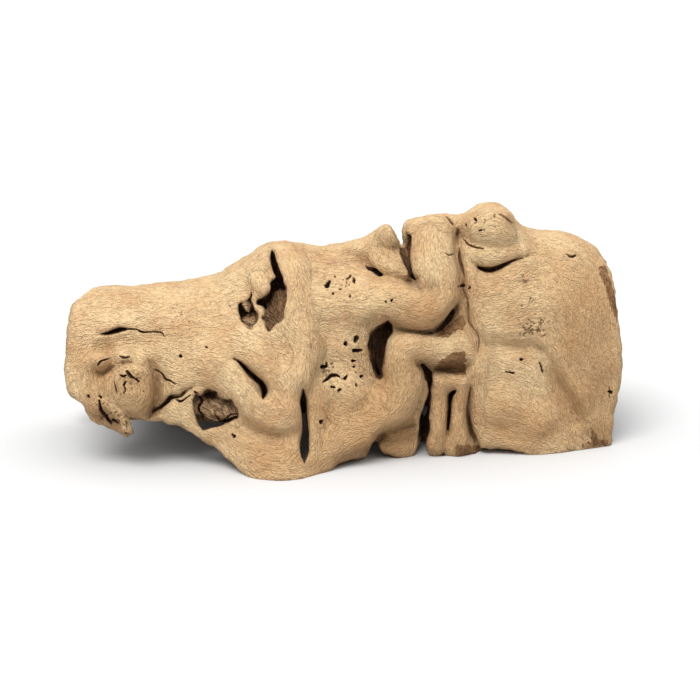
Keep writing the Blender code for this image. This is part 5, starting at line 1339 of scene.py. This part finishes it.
# %% Tables of the finest marks
# Cracks: marks of u, v and half width, with their depth.
FINE_CRACKS = {
    "knot crack low left": (((-113, -18.2, .5), (-112.4, -20, .4), (-113.4, -22, .2)), 1.5),
    "knot crack upright": (((-118, -16, .2), (-117.2, -19, .4), (-116.5, -21.5, .2)), 1.2),
    "knot ring crack": (((-104, -7.5, .2), (-101.5, -9.5, .3), (-100.5, -12.5, .2)), 0.5),
    "notch by the horn": (
        ((-125.5, -25, .4), (-124.5, -30, .9), (-121.5, -34, .9), (-119, -37, .4)), 2.2),
    "horn pit": (((-118.5, -35.2, .8), (-116, -35.8, 1.1)), 1.8),
    "horn tip pit": (((-112.5, -41.8, .5), (-111, -42.3, .7)), 1.5),
    "lip pit": (((-131, -22.8, .6), (-130.6, -23.4, .7)), 1.6),
    "lip pit right": (((-125.4, -23, .5), (-124.6, -23.6, .7)), 1.6),
    "under the lower lump": (
        ((-75, -36.5, .6), (-70, -37.8, 1.1), (-63, -36, .9), (-56, -33.2, .4)), 2.4),
    "left of the lower lump": (
        ((-77.5, -21, .5), (-74, -25, .8), (-76, -29, .6), (-73.5, -33, .7)), 2.2),
    "crack in the lower lump": (
        ((-67.5, -32, .3), (-64, -36, .5), (-60, -32.5, .4), (-56, -32, .3)), 1.5),
    "end crack": (((129.6, -18.5, .2), (129.9, -21.5, .4), (129.6, -24, .2)), 0.7),
    "foot crack": (((-59, -42.6, .3), (-57.5, -42.8, .5)), 1.5),
    "bark scar": (((74.5, 68, .3), (77.5, 66.5, .6), (81, 63.5, .5)), 0.6),
    "column scar": (((47.5, 48.5, .2), (50, 47.5, .4), (52, 48.2, .2)), 0.7),
    "peak scar": (((2, 58, .2), (5.5, 56.5, .4), (9, 57.5, .2)), 0.8),
}
# Clusters of pits: middle u and v, half width, half height, number and largest radius.
PITTED_AREAS = {
    "rough cheek low": (88.5, 11, 5, 4.5, 34, .55),
    "rough cheek high": (95.5, 13.5, 4, 5, 22, .5),
    "rough cheek top": (91, 24.5, 4, 2, 8, .45),
    "rough cheek spot": (88, 34.5, 2, 3, 8, .5),
    "knot face": (-110, -15, 10, 7, 26, .45),
    "small knot face": (-113.5, -5.5, 5, 3, 10, .4),
    "lip": (-121, -32, 8, 5, 16, .5),
    "lip edge": (-112, -38, 5, 3, 10, .4),
    "panel corner": (-12, -10, 5, 5, 16, .5),
    "panel": (1, -14, 8, 9, 12, .45),
    "above the panel": (-5, 33, 8, 4, 10, .45),
    "crown": (66, 63, 9, 7, 12, .45),
    "foot": (-48, -56, 16, 6, 9, .4),
    "left block": (-85, 18, 12, 6, 8, .4),
    "horn": (-110, -36, 4, 4, 8, .5),
}
# The hidden back is guessed: the same kinds of mark, given by x and height.
BACK_CRACKS = {
    "over the low fold": (((-122, 51, .2), (-108, 53, .4), (-96, 52, .3), (-86, 53.5, .2)), 1.2),
    "low fold": (((-62, 30, .2), (-50, 33, .45), (-38, 32, .3), (-29, 34, .2)), 1.6),
    "middle": (((8, 62, .2), (22, 65, .4), (37, 64, .2)), 1.1),
    "under the crown": (((58, 77, .2), (71, 79.5, .5), (86, 78, .4), (96, 79, .2)), 1.8),
    "tall end": (((98, 39, .2), (111, 40.5, .4), (123, 38.5, .2)), 1.2),
    "crest": (((-32, 79, .2), (-19, 81, .4), (-8, 80, .2)), 1.0),
    "knot check": (((99, 60.5, .2), (103.5, 58.5, .6), (108, 55.5, .3)), 2),
    "knot check upright": (((104, 62.5, .2), (104.2, 58, .5), (103.4, 53.5, .2)), 2),
    "small knot check": (((-115, 55.2, .2), (-112, 54, .6), (-109, 52.4, .2)), 2),
}
BACK_PORES = (
    (-95, 40, .7, 2.4), (-70, 58, .6, 2.4), (-66, 55.5, .5, 2), (-40, 20, .7, 2.4), (-12, 50, .8, 2.4),
    (-6, 47, .5, 2), (20, 30, .7, 2.4), (30, 75, .6, 2.4), (52, 22, .6, 2.4), (58, 63, .8, 2.4),
    (61, 60, .5, 2), (90, 50, .6, 2.4), (114, 28, .7, 2.4), (80, 88, .5, 2),
)
BACK_PITTED = {
    "knot": (104, 58, 7, 6, 30, .45),
    "small knot": (-112, 54, 6, 5, 18, .4),
    "foot": (-30, 10, 12, 5, 18, .45),
    "under the crest": (40, 86, 14, 6, 20, .45),
    "middle foot": (20, 12, 8, 6, 14, .45),
}


# No engraved slit or worm hole goes deeper than this.
DEEPEST_SLIT = 2.4
DEEPEST_PORE = 2.6


def small_marks(dice, pores, areas):
    """Short strokes for worm holes, and for pits scattered over rough areas."""
    marks = []
    for u, v, r, deep in pores:
        a, b = dice.normal(size=2) * r * 0.55
        marks.append((((u - a, v - b, r * 0.5), (u + a, v + b, r * 0.85)), min(deep, DEEPEST_PORE)))
    for u, v, wide, high, count, radius in areas.values():
        for _ in range(count):
            a, b = u + wide * dice.normal() / 2, v + high * dice.normal() / 2
            r = radius * dice.uniform(0.5, 1)
            lean = dice.normal(size=2) * 0.5
            marks.append((((a, b, r), (a + lean[0], b + lean[1], r * 0.7)), r * 1.3))
    return marks


def back_marks():
    """Strokes of x, height and half width, each with a depth, for all marks engraved behind."""
    return list(BACK_CRACKS.values()) + small_marks(np.random.default_rng(6), BACK_PORES, BACK_PITTED)


def fine_marks():
    """Strokes of u, v and half width, each with a depth, for all marks engraved on the front."""
    marks = [(pen, min(deep, DEEPEST_SLIT)) for pen, deep in FRONT_SLITS.values()
             if max(mark[2] for mark in pen) < FINEST_CARVED]
    marks += list(FINE_CRACKS.values())
    return marks + small_marks(np.random.default_rng(5), PORES, PITTED_AREAS)


print(len(fine_marks()), "marks on the front and", len(back_marks()), "behind")

# %% Engraving
# A mark is looked for no further than this from its route, and is never thinner than a hair.
MARK_REACH = 2.5
HAIR = 0.12
# Edges shorter than this aren't divided.
FINEST_EDGE = 0.46
# Marks are cut only this near to the first skin, and in the lower hole also in the broken wood.
SKIN_LEVEL = -1.2
HOLE_LEVEL = -16
# A vertex is marked when it faces the viewer, or the back, by at least this much.
FRONT_FACING = 0.15
BACK_FACING = 0.3


def mark_depth(u, v, marks):
    """How deep the marks cut at places on a board, and how far off the nearest one is."""
    deep, near = np.zeros(len(u)), np.full(len(u), FAR)
    order = np.argsort(u)
    sorted_u = u[order]
    for pen, depth in marks:
        route = smooth_curve(pen, 3) if len(pen) > 2 else np.array(pen, dtype=float)
        ends = (route[:, 0].min() - MARK_REACH, route[:, 0].max() + MARK_REACH)
        first, last = np.searchsorted(sorted_u, ends)
        here = order[first:last]
        here = here[np.abs(v[here] - route[:, 1].mean()) < np.ptp(route[:, 1]) / 2 + MARK_REACH]
        for a, b in zip(route[:-1], route[1:]):
            t, away = near_span(u[here], v[here], a, b)
            half = np.maximum(a[2] + t * (b[2] - a[2]), HAIR)
            cut = depth * np.sqrt(np.clip(1 - (away / half) ** 2, 0, 1))
            deep[here] = np.maximum(deep[here], cut)
            near[here] = np.minimum(near[here], away - half)
    return deep, near


def vertex_vectors(mesh, name):
    """The places ("co") or the directions ("normal") of all vertices, one row for each."""
    values = np.empty(len(mesh.vertices) * 3)
    mesh.vertices.foreach_get(name, values)
    return values.reshape(-1, 3)


def on_front(spots, facing):
    """The outer front, and the broken wood inside the lower hole."""
    in_hole = outline_distance(LOWER_HOLE, *front_view(spots)) < 0
    return (before_crest(spots) & (facing @ BOARD_BACK > FRONT_FACING)
            & (sample(skin, spots) > np.where(in_hole, HOLE_LEVEL, SKIN_LEVEL)))


def on_back(spots, facing):
    """The outer back."""
    return (~before_crest(spots) & (facing[:, 1] > BACK_FACING)
            & (sample(skin, spots) > SKIN_LEVEL))


def divide_near(mesh, marks, seen, view):
    """Divides the edges close to the marks once."""
    spots = vertex_vectors(mesh, "co") / MM - CENTRE_SHIFT
    on_side = seen(spots, vertex_vectors(mesh, "normal"))
    ends = np.empty(len(mesh.edges) * 2, dtype=np.int32)
    mesh.edges.foreach_get("vertices", ends)
    a, b = ends.reshape(-1, 2).T
    length = np.linalg.norm(spots[a] - spots[b], axis=1)
    near = mark_depth(*view((spots[a] + spots[b]) / 2), marks)[1]
    close = near < length / 2 + 0.1
    chosen = np.nonzero(on_side[a] & on_side[b] & (length > FINEST_EDGE) & close)[0]
    bm = bmesh.new()
    bm.from_mesh(mesh)
    bm.edges.ensure_lookup_table()
    bmesh.ops.subdivide_edges(bm, edges=[bm.edges[i] for i in chosen], cuts=1)
    bmesh.ops.triangulate(bm, faces=[face for face in bm.faces if len(face.verts) > 3])
    bm.to_mesh(mesh)
    bm.free()
    return len(chosen)


mesh = wood.data
sides = ((fine_marks(), on_front, front_view, 3), (back_marks(), on_back, back_view, 2))
for marks, seen, view, passes in sides:
    divided = [divide_near(mesh, marks, seen, view) for _ in range(passes)]
    print(len(marks), "marks, edges divided in each pass:", divided)
spots = vertex_vectors(mesh, "co") / MM - CENTRE_SHIFT
facing = vertex_vectors(mesh, "normal")
engraved = sum(mark_depth(*view(spots), marks)[0] * seen(spots, facing)
               for marks, seen, view, passes in sides)
spots = spots - facing * engraved[:, None]
mesh.vertices.foreach_set("co", ((spots + CENTRE_SHIFT) * MM).ravel())
mesh.update()
for face in mesh.polygons:
    face.use_smooth = True
print(len(mesh.polygons), "triangles after engraving")

# %% [markdown]
# ## Marks for the colour
# The material needs seven things at each vertex: the way of the grain, how deep it lies below the
# first skin, whether it is in a crack, where the brown old surface was left unblasted, where the
# wood is stained or has painted shade in creases and round the knots, where pale heartwood shows
# in a hole, and where the tan is warmer, partly its own tone and partly painted shade low down and
# on the tall end. Depth and cracks also carry painted shade. They are stored as attributes of the
# mesh, which any shader can read by name.

# %% Brown patches
# Outlines on the front board, in u and v; those of the back are in x and height.
BROWN_PATCHES = (
    ((43, 7), (50, 12.5), (56.5, 18.5), (58, 12.5), (56.5, 10), (52.5, 10), (50, 7), (45, 6)),
    ((51, -1), (58, -1), (58, -12.5), (52.5, -12.5), (47.5, -11), (41, -9.5)),
    ((52.5, -47.5), (65, -47.5), (65, -53.5), (52.5, -53.5)),
    ((124, 42), (128, 42), (129, 38.5), (131, 32.5), (132.5, 26.5), (133.5, 20), (133.8, 14),
     (131.5, 19), (129, 25), (127.5, 32.5), (125, 37.5)),
    ((114, -48.5), (116.5, -46.5), (120.5, -45.5), (121, -43.5), (120, -38), (122, -40.5),
     (124, -44), (128.5, -45.5), (129.5, -48)),
    ((75, 68), (82, 63.5), (78, 65)),
)
# Stains, partly real and partly painted shade: dark brown laid into creases, over and under the small
# knots, in the notch by the horn and on the slope into the long hole.
BROWN_STAINS_AND_SHADE = (
    ((28, 35), (45, 35), (45, 29), (28, 29)),
    ((5, -1), (11, 0), (11, -6), (6, -6)),
    ((-98, 16), (-94, 16), (-94, 9), (-96, 9)),
    ((-125, 2), (-121, 3), (-119, 1), (-123, 0)),
    ((-116, 3), (-112, 3.5), (-112, 1.5), (-115, 1.5)),
    ((-122, -9), (-118, -8), (-119, -11), (-122, -12)),
    ((-115, -6), (-110, -6), (-110, -8), (-115, -8)),
    ((-24, 4), (-20, 4), (-18, 0), (-22, 0)),
    ((-9, -50), (-3, -50), (9, -46), (10, -58), (-9, -60)),
    ((-132, -26), (-112, -40), (-116, -44), (-134, -32)),
    ((86, 36.5), (89, 36.5), (89, 32), (86.5, 32)),
    ((-128, -26), (-123, -27), (-119, -36), (-124, -36)),
    ((-98, -26), (-92, -30), (-98, -34), (-104, -33)),
    ((-14, 45), (6, 47), (8, 43), (-10, 42)),
)
# Warmer, darker areas: partly the wood's own tone and partly painted shade, mostly on the low parts of the
# front and on the tall end, which faces away from the light.
WARM_AND_SHADED_AREAS = (
    ((-141, 0), (-128, -4), (-104, -9), (-95, -14), (-92, -28), (-107, -34), (-130, -24)),
    ((-132, -24), (-118, -27), (-108, -40), (-112, -44), (-128, -36)),
    ((98, 50), (130, 44), (136, 0), (131, -47), (112, -46), (104, -10), (100, 20)),
    ((66, -20), (92, -24), (108, -47), (66, -50)),
    ((34, -18), (64, -16), (64, -52), (34, -52)),
    ((-28, -24), (8, -18), (12, 0), (36, 0), (36, -50), (-10, -56), (-30, -56)),
    ((20, 27), (42, 30), (58, 36), (60, 22), (46, 10), (24, 12)),
    ((4, -44), (32, -30), (34, -54), (0, -58)),
    ((-62, -44), (-20, -46), (6, -46), (4, -60), (-50, -66)),
)
PALE_HEART = (
    ((-77, -22), (-64, -24), (-57, -28), (-56, -36), (-66, -38), (-76, -37), (-79, -30)),
    ((-54, 23), (-50, 23), (-50, 18), (-54, 18)),
    ((-54, 16), (-45, 16), (-42, 22), (-41, 12), (-47, 8), (-53, 9)),
)
SHELF_HEART = (
    ((-34, 31), (-40, 25), (-43, 18), (-42, 8), (-30, 12), (-31, 30)),
    ((9, 11), (14, 13), (15, 2), (14, -6), (10, -4), (9, 4)),
    ((23, 56), (28, 56), (31, 42), (28, 42), (24, 48)),
)
BACK_PATCHES = (
    ((70, 33), (78, 36.5), (96, 35.5), (106, 30), (98, 30), (84, 31.5)),
    ((33, 50), (36, 55), (40, 52), (41.5, 44), (40, 35), (36, 40)),
    ((126, 72), (131, 72), (133, 58), (132, 42), (128, 52)),
    ((-30, -3), (-22, 5), (-8, 3), (4, -3)),
)
BACK_STAINS = (
    ((-102, 60), (-72, 66), (-60, 60), (-90, 54)),
    ((20, 86), (58, 94), (70, 88), (32, 80)),
    ((-24, 8), (18, 6), (24, -3), (-28, -3)),
    ((92, 66), (118, 64), (120, 54), (98, 50)),
    ((-80, 20), (-52, 27), (-46, 18), (-70, 11)),
)


def patch_amount(soft, spots, front=(), behind=()):
    """1 inside the outlines drawn on the two sides, falling to 0 over soft mm."""
    amount = np.zeros(len(spots))
    for outlines, view, side in ((front, front_view, before_crest(spots)),
                                 (behind, back_view, ~before_crest(spots))):
        for outline in outlines:
            away = outline_distance(outline, *view(spots))
            amount = np.maximum(amount, side * np.clip(0.5 - away / soft, 0, 1))
    return amount


def store(mesh, name, values):
    """Keeps numbers or vectors, one for each vertex, under a name that a shader can read."""
    kind, field_name = ("FLOAT_VECTOR", "vector") if values.ndim == 2 else ("FLOAT", "value")
    layer = mesh.attributes.new(name, kind, "POINT")
    layer.data.foreach_set(field_name, values.astype(np.float32).ravel())


print(len(BROWN_PATCHES), "patches and", len(BROWN_STAINS_AND_SHADE), "stains")

# %% How deep the wood lies below its first skin
def saw_distance(spots):
    """Distance to the broken ends and lower edges, negative in the wood."""
    place = front_view(spots)
    x, y, z = spots.T
    low = np.where(y < 0, outline_distance(HEM_OUTLINE, *place), back_hem(x) - z)
    return np.maximum(np.maximum(outline_distance(TRUNK_OUTLINE, *place), low), x - TALL_END)


# Rims were blasted too, so wood this near to a broken edge doesn't count as deep.
RIM_WIDTH = 5
DEEPEST_CRACK = 2
rim = np.clip(1 + saw_distance(spots) / RIM_WIDTH, 0, 1)
depth = np.maximum(-sample(skin, spots) - engraved, 0) * (1 - rim)
store(mesh, "grain", grain_at(spots, facing))
store(mesh, "depth", depth)
# Painted shade: engraved cracks, worm holes and pits are darkened by how deep they are cut, in place of
# the shade that such shallow marks can't cast.
store(mesh, "crack", np.clip(engraved / DEEPEST_CRACK, 0, 1))
store(mesh, "patch", patch_amount(1.5, spots, BROWN_PATCHES, BACK_PATCHES))
# One mask for stains and for painted shade in creases and round the knots.
store(mesh, "stain_and_shade", patch_amount(5, spots, BROWN_STAINS_AND_SHADE, BACK_STAINS))
store(mesh, "heart", np.maximum(patch_amount(3, spots, PALE_HEART),
                                0.2 * patch_amount(3, spots, SHELF_HEART)))
# One mask for the warmer tone and for painted shade on the low parts and the tall end.
store(mesh, "warmth_and_shade", patch_amount(12, spots, WARM_AND_SHADED_AREAS))
print("deepest vertex below the skin:", round(float(depth.max()), 1), "mm")

# %% [markdown]
# ## Sandblasted grapevine wood
# Bare dry wood without oil or varnish: quite rough, IOR 1.5, and no metal in it. The dusty fibre
# ends scatter most of the sheen, so the specular level is halved. Late wood stands in fine lines
# about a millimetre apart. The lines must follow the grain round every bend, so the shader takes
# several samples of a noise along the grain and averages them, which draws each speck out into a
# streak. Wood a few millimetres below the skin was never reached by the sand and stays brown. The
# near-black in the deepest holes and in the engraved cracks, worm holes and pits is painted shade.

# %% Helpers for colour and nodes
def linear(hex_code):
    """An sRGB hex colour as the linear numbers that a shader expects."""
    parts = [int(hex_code[i:i + 2], 16) / 255 for i in (1, 3, 5)]
    return [c / 12.92 if c <= 0.04045 else ((c + 0.055) / 1.055) ** 2.4 for c in parts] + [1]


def add(tree, kind, settings=()):
    """Adds a node. Each setting is a value of the node, the value of an input, or a link to it."""
    made = tree.nodes.new(kind)
    for name, value in dict(settings).items():
        if isinstance(value, bpy.types.NodeSocket):
            tree.links.new(value, made.inputs[name])
        elif isinstance(name, str) and hasattr(made, name):
            setattr(made, name, value)
        else:
            made.inputs[name].default_value = value
    return made


print("pale wood in linear numbers:", [round(c, 3) for c in linear("#CEB389")])

# %% Grain lines in the material
timber = bpy.data.materials.new("sandblasted_grapevine_wood")
timber.use_nodes = True
tree = timber.node_tree
tree.nodes.clear()
# Fine and wide lines are this far apart, and they wander off the grain by up to a millimetre or
# two in bends of about 3 mm. Grit is 0.7 mm across, the mottle 16 mm and the fraying 1.6 mm.
GRAIN_PITCH = 0.9
WIDE_PITCH = 3.2 * GRAIN_PITCH
WANDER = 2.2
BEND = 3.0
GRIT = 0.7
MOTTLE = 16
FRAYING = 1.6
place = add(tree, "ShaderNodeTexCoord").outputs["Object"]
way = add(tree, "ShaderNodeAttribute", {"attribute_name": "grain"}).outputs["Vector"]
wander = add(tree, "ShaderNodeTexNoise", {"Scale": 1 / (BEND * MM), "Detail": 1.0, "Vector": place})
bent = add(tree, "ShaderNodeVectorMath", {
    "operation": "MULTIPLY_ADD", 0: wander.outputs["Color"], 1: (WANDER * MM,) * 3, 2: place}).outputs[0]


def streaks(pitch, step, samples, contrast):
    """Noise smeared along the grain: lines about pitch mm apart, 0 for low and 1 for high ones."""
    specks = []
    for n in range(samples):
        along = (n - (samples - 1) / 2) * step * MM
        moved = add(tree, "ShaderNodeVectorMath", {
            "operation": "MULTIPLY_ADD", 0: way, 1: (along,) * 3, 2: bent}).outputs[0]
        specks.append(add(tree, "ShaderNodeTexNoise", {
            "Scale": 1 / (0.62 * pitch * MM), "Detail": 0.0, "Vector": moved}).outputs["Fac"])
    total = specks[0]
    for speck in specks[1:]:
        total = add(tree, "ShaderNodeMath", {"operation": "ADD", 0: total, 1: speck}).outputs[0]
    middle, spread = samples * 0.5, samples * contrast
    return add(tree, "ShaderNodeMapRange", {0: total, 1: middle - spread, 2: middle + spread}).outputs[0]


fine_lines = streaks(GRAIN_PITCH, step=0.5, samples=8, contrast=0.1)
wide_lines = streaks(WIDE_PITCH, step=1.6, samples=5, contrast=0.13)
grit, mottle = (
    add(tree, "ShaderNodeTexNoise", {"Scale": 1 / (size * MM), "Detail": detail, "Vector": place}
        ).outputs["Fac"] for size, detail in ((GRIT, 1.0), (MOTTLE, 4.0)))
fray = add(tree, "ShaderNodeTexNoise", {"Scale": 1 / (FRAYING * MM), "Detail": 2.0, "Vector": bent})
print("grain lines every", GRAIN_PITCH, "mm,", len(tree.nodes), "nodes so far")

# %% Colours of the wood
SUNLIT_TAN = linear("#CEB389")
WARM_TAN = linear("#B9936A")
LATE_WOOD = linear("#96714F")
# Darker warm brown for the warm areas: partly their own tone, partly painted shade.
WARM_BROWN_AND_SHADE = linear("#A27A50")
# Brown of the stains, also used as painted shade in creases and round the knots.
STAIN_AND_SHADE_BROWN = linear("#88674A")
UNBLASTED = linear("#957049")
UNBLASTED_SEAM = linear("#694A2F")
INNER_BROWN = linear("#704D30")
HEART_BROWN = linear("#CEA97F")
# Near-black brown: grain lines of the wood deep inside, and painted shade in the deepest holes and in the
# cracks.
DEEP_BROWN_AND_SHADE = linear("#2C1C11")
# Painted shade in shallow cracks and pits.
CRACK_SHADE_BROWN = linear("#6A4930")


def lay_over(colour, layers):
    """Lays tints over a colour in turn. A layer is a mask, the values of the mask where the tint
    starts and where it is full, the most that it covers, and the tint: a colour or a socket."""
    for mask, start, full, most, tint in layers:
        amount = add(tree, "ShaderNodeMapRange", {0: mask, 1: start, 2: full, 4: most})
        colour = add(tree, "ShaderNodeMix", {
            "data_type": "RGBA", 0: amount.outputs[0], 6: colour, 7: tint}).outputs[2]
    return colour


warmth_and_shade, patch, stain_and_shade, heart, below, crack = (
    add(tree, "ShaderNodeAttribute", {"attribute_name": name}).outputs["Fac"]
    for name in ("warmth_and_shade", "patch", "stain_and_shade", "heart", "depth", "crack"))
# The noise frays the edges of the patches and breaks up the stains and the painted shade.
ragged_patch, ragged_stain_and_shade = (
    add(tree, "ShaderNodeMath", {"operation": operation, 0: mask, 1: fray.outputs["Fac"]}).outputs[0]
    for mask, operation in ((patch, "ADD"), (stain_and_shade, "MULTIPLY")))
old_surface = lay_over(UNBLASTED, (
    (wide_lines, 0.75, 0.2, 1.0, UNBLASTED_SEAM),
    (fine_lines, 0.7, 0.0, 0.7, UNBLASTED_SEAM),
))
inside = lay_over(INNER_BROWN, (
    (heart, 0.0, 1.0, 1.0, HEART_BROWN),
    (fine_lines, 0.6, 0.1, 0.7, DEEP_BROWN_AND_SHADE),
    (wide_lines, 0.6, 0.2, 0.5, DEEP_BROWN_AND_SHADE),
))
# The masks of depth start and end at millimetres below the skin.
colour = lay_over(SUNLIT_TAN, (
    (mottle, 0.38, 0.66, 0.8, WARM_TAN),
    (wide_lines, 0.5, 0.0, 0.3, WARM_TAN),
    (fine_lines, 0.6, 0.0, 0.48, LATE_WOOD),
    (grit, 0.60, 0.74, 0.55, LATE_WOOD),
    # Warmer tone, and painted shade low down and on the tall end.
    (warmth_and_shade, 0.0, 1.0, 0.55, WARM_BROWN_AND_SHADE),
    # Stains, and painted shade in creases and round the knots.
    (ragged_stain_and_shade, 0.15, 0.7, 0.85, STAIN_AND_SHADE_BROWN),
    (ragged_patch, 0.85, 1.1, 1.0, old_surface),
    (below, 0.7, 2.6, 1.0, inside),
    # Painted shade: the deepest holes darken towards near-black brown, 11 to 18 mm below the skin.
    (below, 11.0, 18.0, 0.8, DEEP_BROWN_AND_SHADE),
    # Painted shade in engraved cracks, worm holes and pits: brown where they are shallow, near-black where
    # they are deep.
    (crack, 0.0, 0.35, 1.0, CRACK_SHADE_BROWN),
    (crack, 0.3, 1.0, 1.0, DEEP_BROWN_AND_SHADE),
))
print(len(tree.nodes), "nodes so far")

# %% Shader of the wood
# Height of the fibre ridges that are too fine for the mesh.
FIBRE_RELIEF = 0.7 * MM
relief = add(tree, "ShaderNodeMath", {"operation": "MULTIPLY_ADD", 0: grit, 1: 0.35, 2: fine_lines})
bump = add(tree, "ShaderNodeBump", {
    "Strength": 1.0, "Distance": FIBRE_RELIEF, "Height": relief.outputs[0]})
surface = add(tree, "ShaderNodeBsdfPrincipled", {
    "Roughness": 0.85, "IOR": 1.5, "Specular IOR Level": 0.25, "Base Color": colour,
    "Normal": bump.outputs[0]})
add(tree, "ShaderNodeOutputMaterial", {"Surface": surface.outputs[0]})
wood.data.materials.clear()
wood.data.materials.append(timber)
print(len(tree.nodes), "nodes in the wood material")

# %% [markdown]
# ## Frayed fibres
# At torn edges the blasted wood ends in short loose fibres: on the lower left lip, along the hem
# and the edge of the foot, beside the lower hole and round both ends. Each is a thin tapered
# splinter of three sides with its root in the wood. They are one mesh, because they are too small
# to be parts.

# %% Growing the splinters
# Middle u and v, half width, half height, number of fibres and length of the longest one.
FRAYED_PLACES = {
    "left lip": (-121, -33, 10, 5, 60, 1.6),
    "torn hem": (-84, -36, 26, 5, 110, 1.5),
    "lower hole": (-76, -30, 3, 9, 40, 1.8),
    "foot edge": (-6, -56, 16, 5, 50, 1.2),
    "left rim": (-147, -5, 8, 40, 90, 1.0),
    "right rim": (130, 5, 8, 50, 90, 1.0),
}


def splinter(root, tip, thick):
    """Four corners of a thin pyramid from a root to a tip, in mm."""
    along = (tip - root) / np.linalg.norm(tip - root)
    side = np.cross(along, (0.3, 0.5, 0.8))
    side /= np.linalg.norm(side)
    other = np.cross(along, side)
    turns = (0, 2 * math.pi / 3, 4 * math.pi / 3)
    return [root + thick * (math.cos(a) * side + math.sin(a) * other) for a in turns] + [tip]


SPLINTER_FACES = ((0, 1, 3), (1, 2, 3), (2, 0, 3), (2, 1, 0))
dice = np.random.default_rng(21)
u, v = front_view(spots)
# Fibres stand where the wood is nearest to a broken edge.
torn = (rim > 0.55) & before_crest(spots)
corners, faces = [], []
for u0, v0, wide, high, count, longest in FRAYED_PLACES.values():
    near = np.nonzero(torn & (np.abs(u - u0) < wide) & (np.abs(v - v0) < high))[0]
    for index in dice.choice(near, min(count, len(near)), replace=False):
        lean = facing[index] * 0.7 + dice.normal(size=3) * 0.45 + np.array((0, 0, -0.25))
        lean /= np.linalg.norm(lean)
        root = spots[index] - facing[index] * 0.3
        tip = root + lean * longest * dice.uniform(0.5, 1)
        if tip[2] < 0.2:
            continue
        faces += [[len(corners) + n for n in face] for face in SPLINTER_FACES]
        corners += splinter(root, tip, dice.uniform(0.1, 0.2))
fibres = mesh_from_net("frayed_fibres", np.array(corners) + CENTRE_SHIFT, np.array(faces))
fibres.data.materials.append(timber)
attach(fibres, "root")
print(len(faces) // len(SPLINTER_FACES), "splinters")

# %% [markdown]
# ## Joining the frame
# The finer piece takes the place of the plain solid and moves with it.

# %% Replacing the solid
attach(wood, "root")
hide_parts("grapevine_tunnel")

# %% [markdown]
# ## Floor
# A plain pale floor catches the soft shadow under the arch. It reaches 40 m each way, so that its
# far edge stays out of the picture in low views from any side.

# %% Pale floor
FLOOR_REACH = 40000
floor_corners = FLOOR_REACH * np.array(((-1, -1, 0), (1, -1, 0), (1, 1, 0), (-1, 1, 0)))
floor = mesh_from_net("floor", floor_corners, np.array(((0, 1, 2, 3),)))
card = bpy.data.materials.new("matt_white_card")
card.use_nodes = True
card_shader = card.node_tree.nodes["Principled BSDF"]
card_shader.inputs["Base Color"].default_value = linear("#BEBEBE")
card_shader.inputs["Roughness"].default_value = 0.9
floor.data.materials.append(card)
print("floor of", floor.dimensions[0], "m")

# %% [markdown]
# ## Light
# In the studio a wide cloth hangs above the table, to the left and in front, so shadows are soft.
# A sun lamp with a wide angle does the same and stays even over the whole floor. The world is a
# dome that is bright overhead and dimmer towards the sides, which gives the folds their shade.

# %% Soft lights
sun = bpy.data.lights.new("key", "SUN")
sun.energy = 2.6
sun.angle = math.radians(35)
new_object("key", sun).rotation_euler = (math.radians(32), 0, math.radians(-36))
world = bpy.data.worlds.new("studio")
bpy.context.scene.world = world
world.use_nodes = True
sky = world.node_tree
direction = add(sky, "ShaderNodeTexCoord").outputs["Generated"]
height = add(sky, "ShaderNodeSeparateXYZ", {0: direction}).outputs["Z"]
# From just above the horizon to almost overhead, the dome grows from dim to bright.
glow = add(sky, "ShaderNodeMapRange", {0: height, 1: 0.12, 2: 0.95, 3: 0.09, 4: 2.05}).outputs[0]
background = sky.nodes["Background"]
background.inputs["Color"].default_value = (1, 1, 1, 1)
sky.links.new(glow, background.inputs["Strength"])
bpy.context.scene.view_settings.view_transform = "Standard"
print("sun of", round(math.degrees(sun.angle)), "degrees and a pale dome")
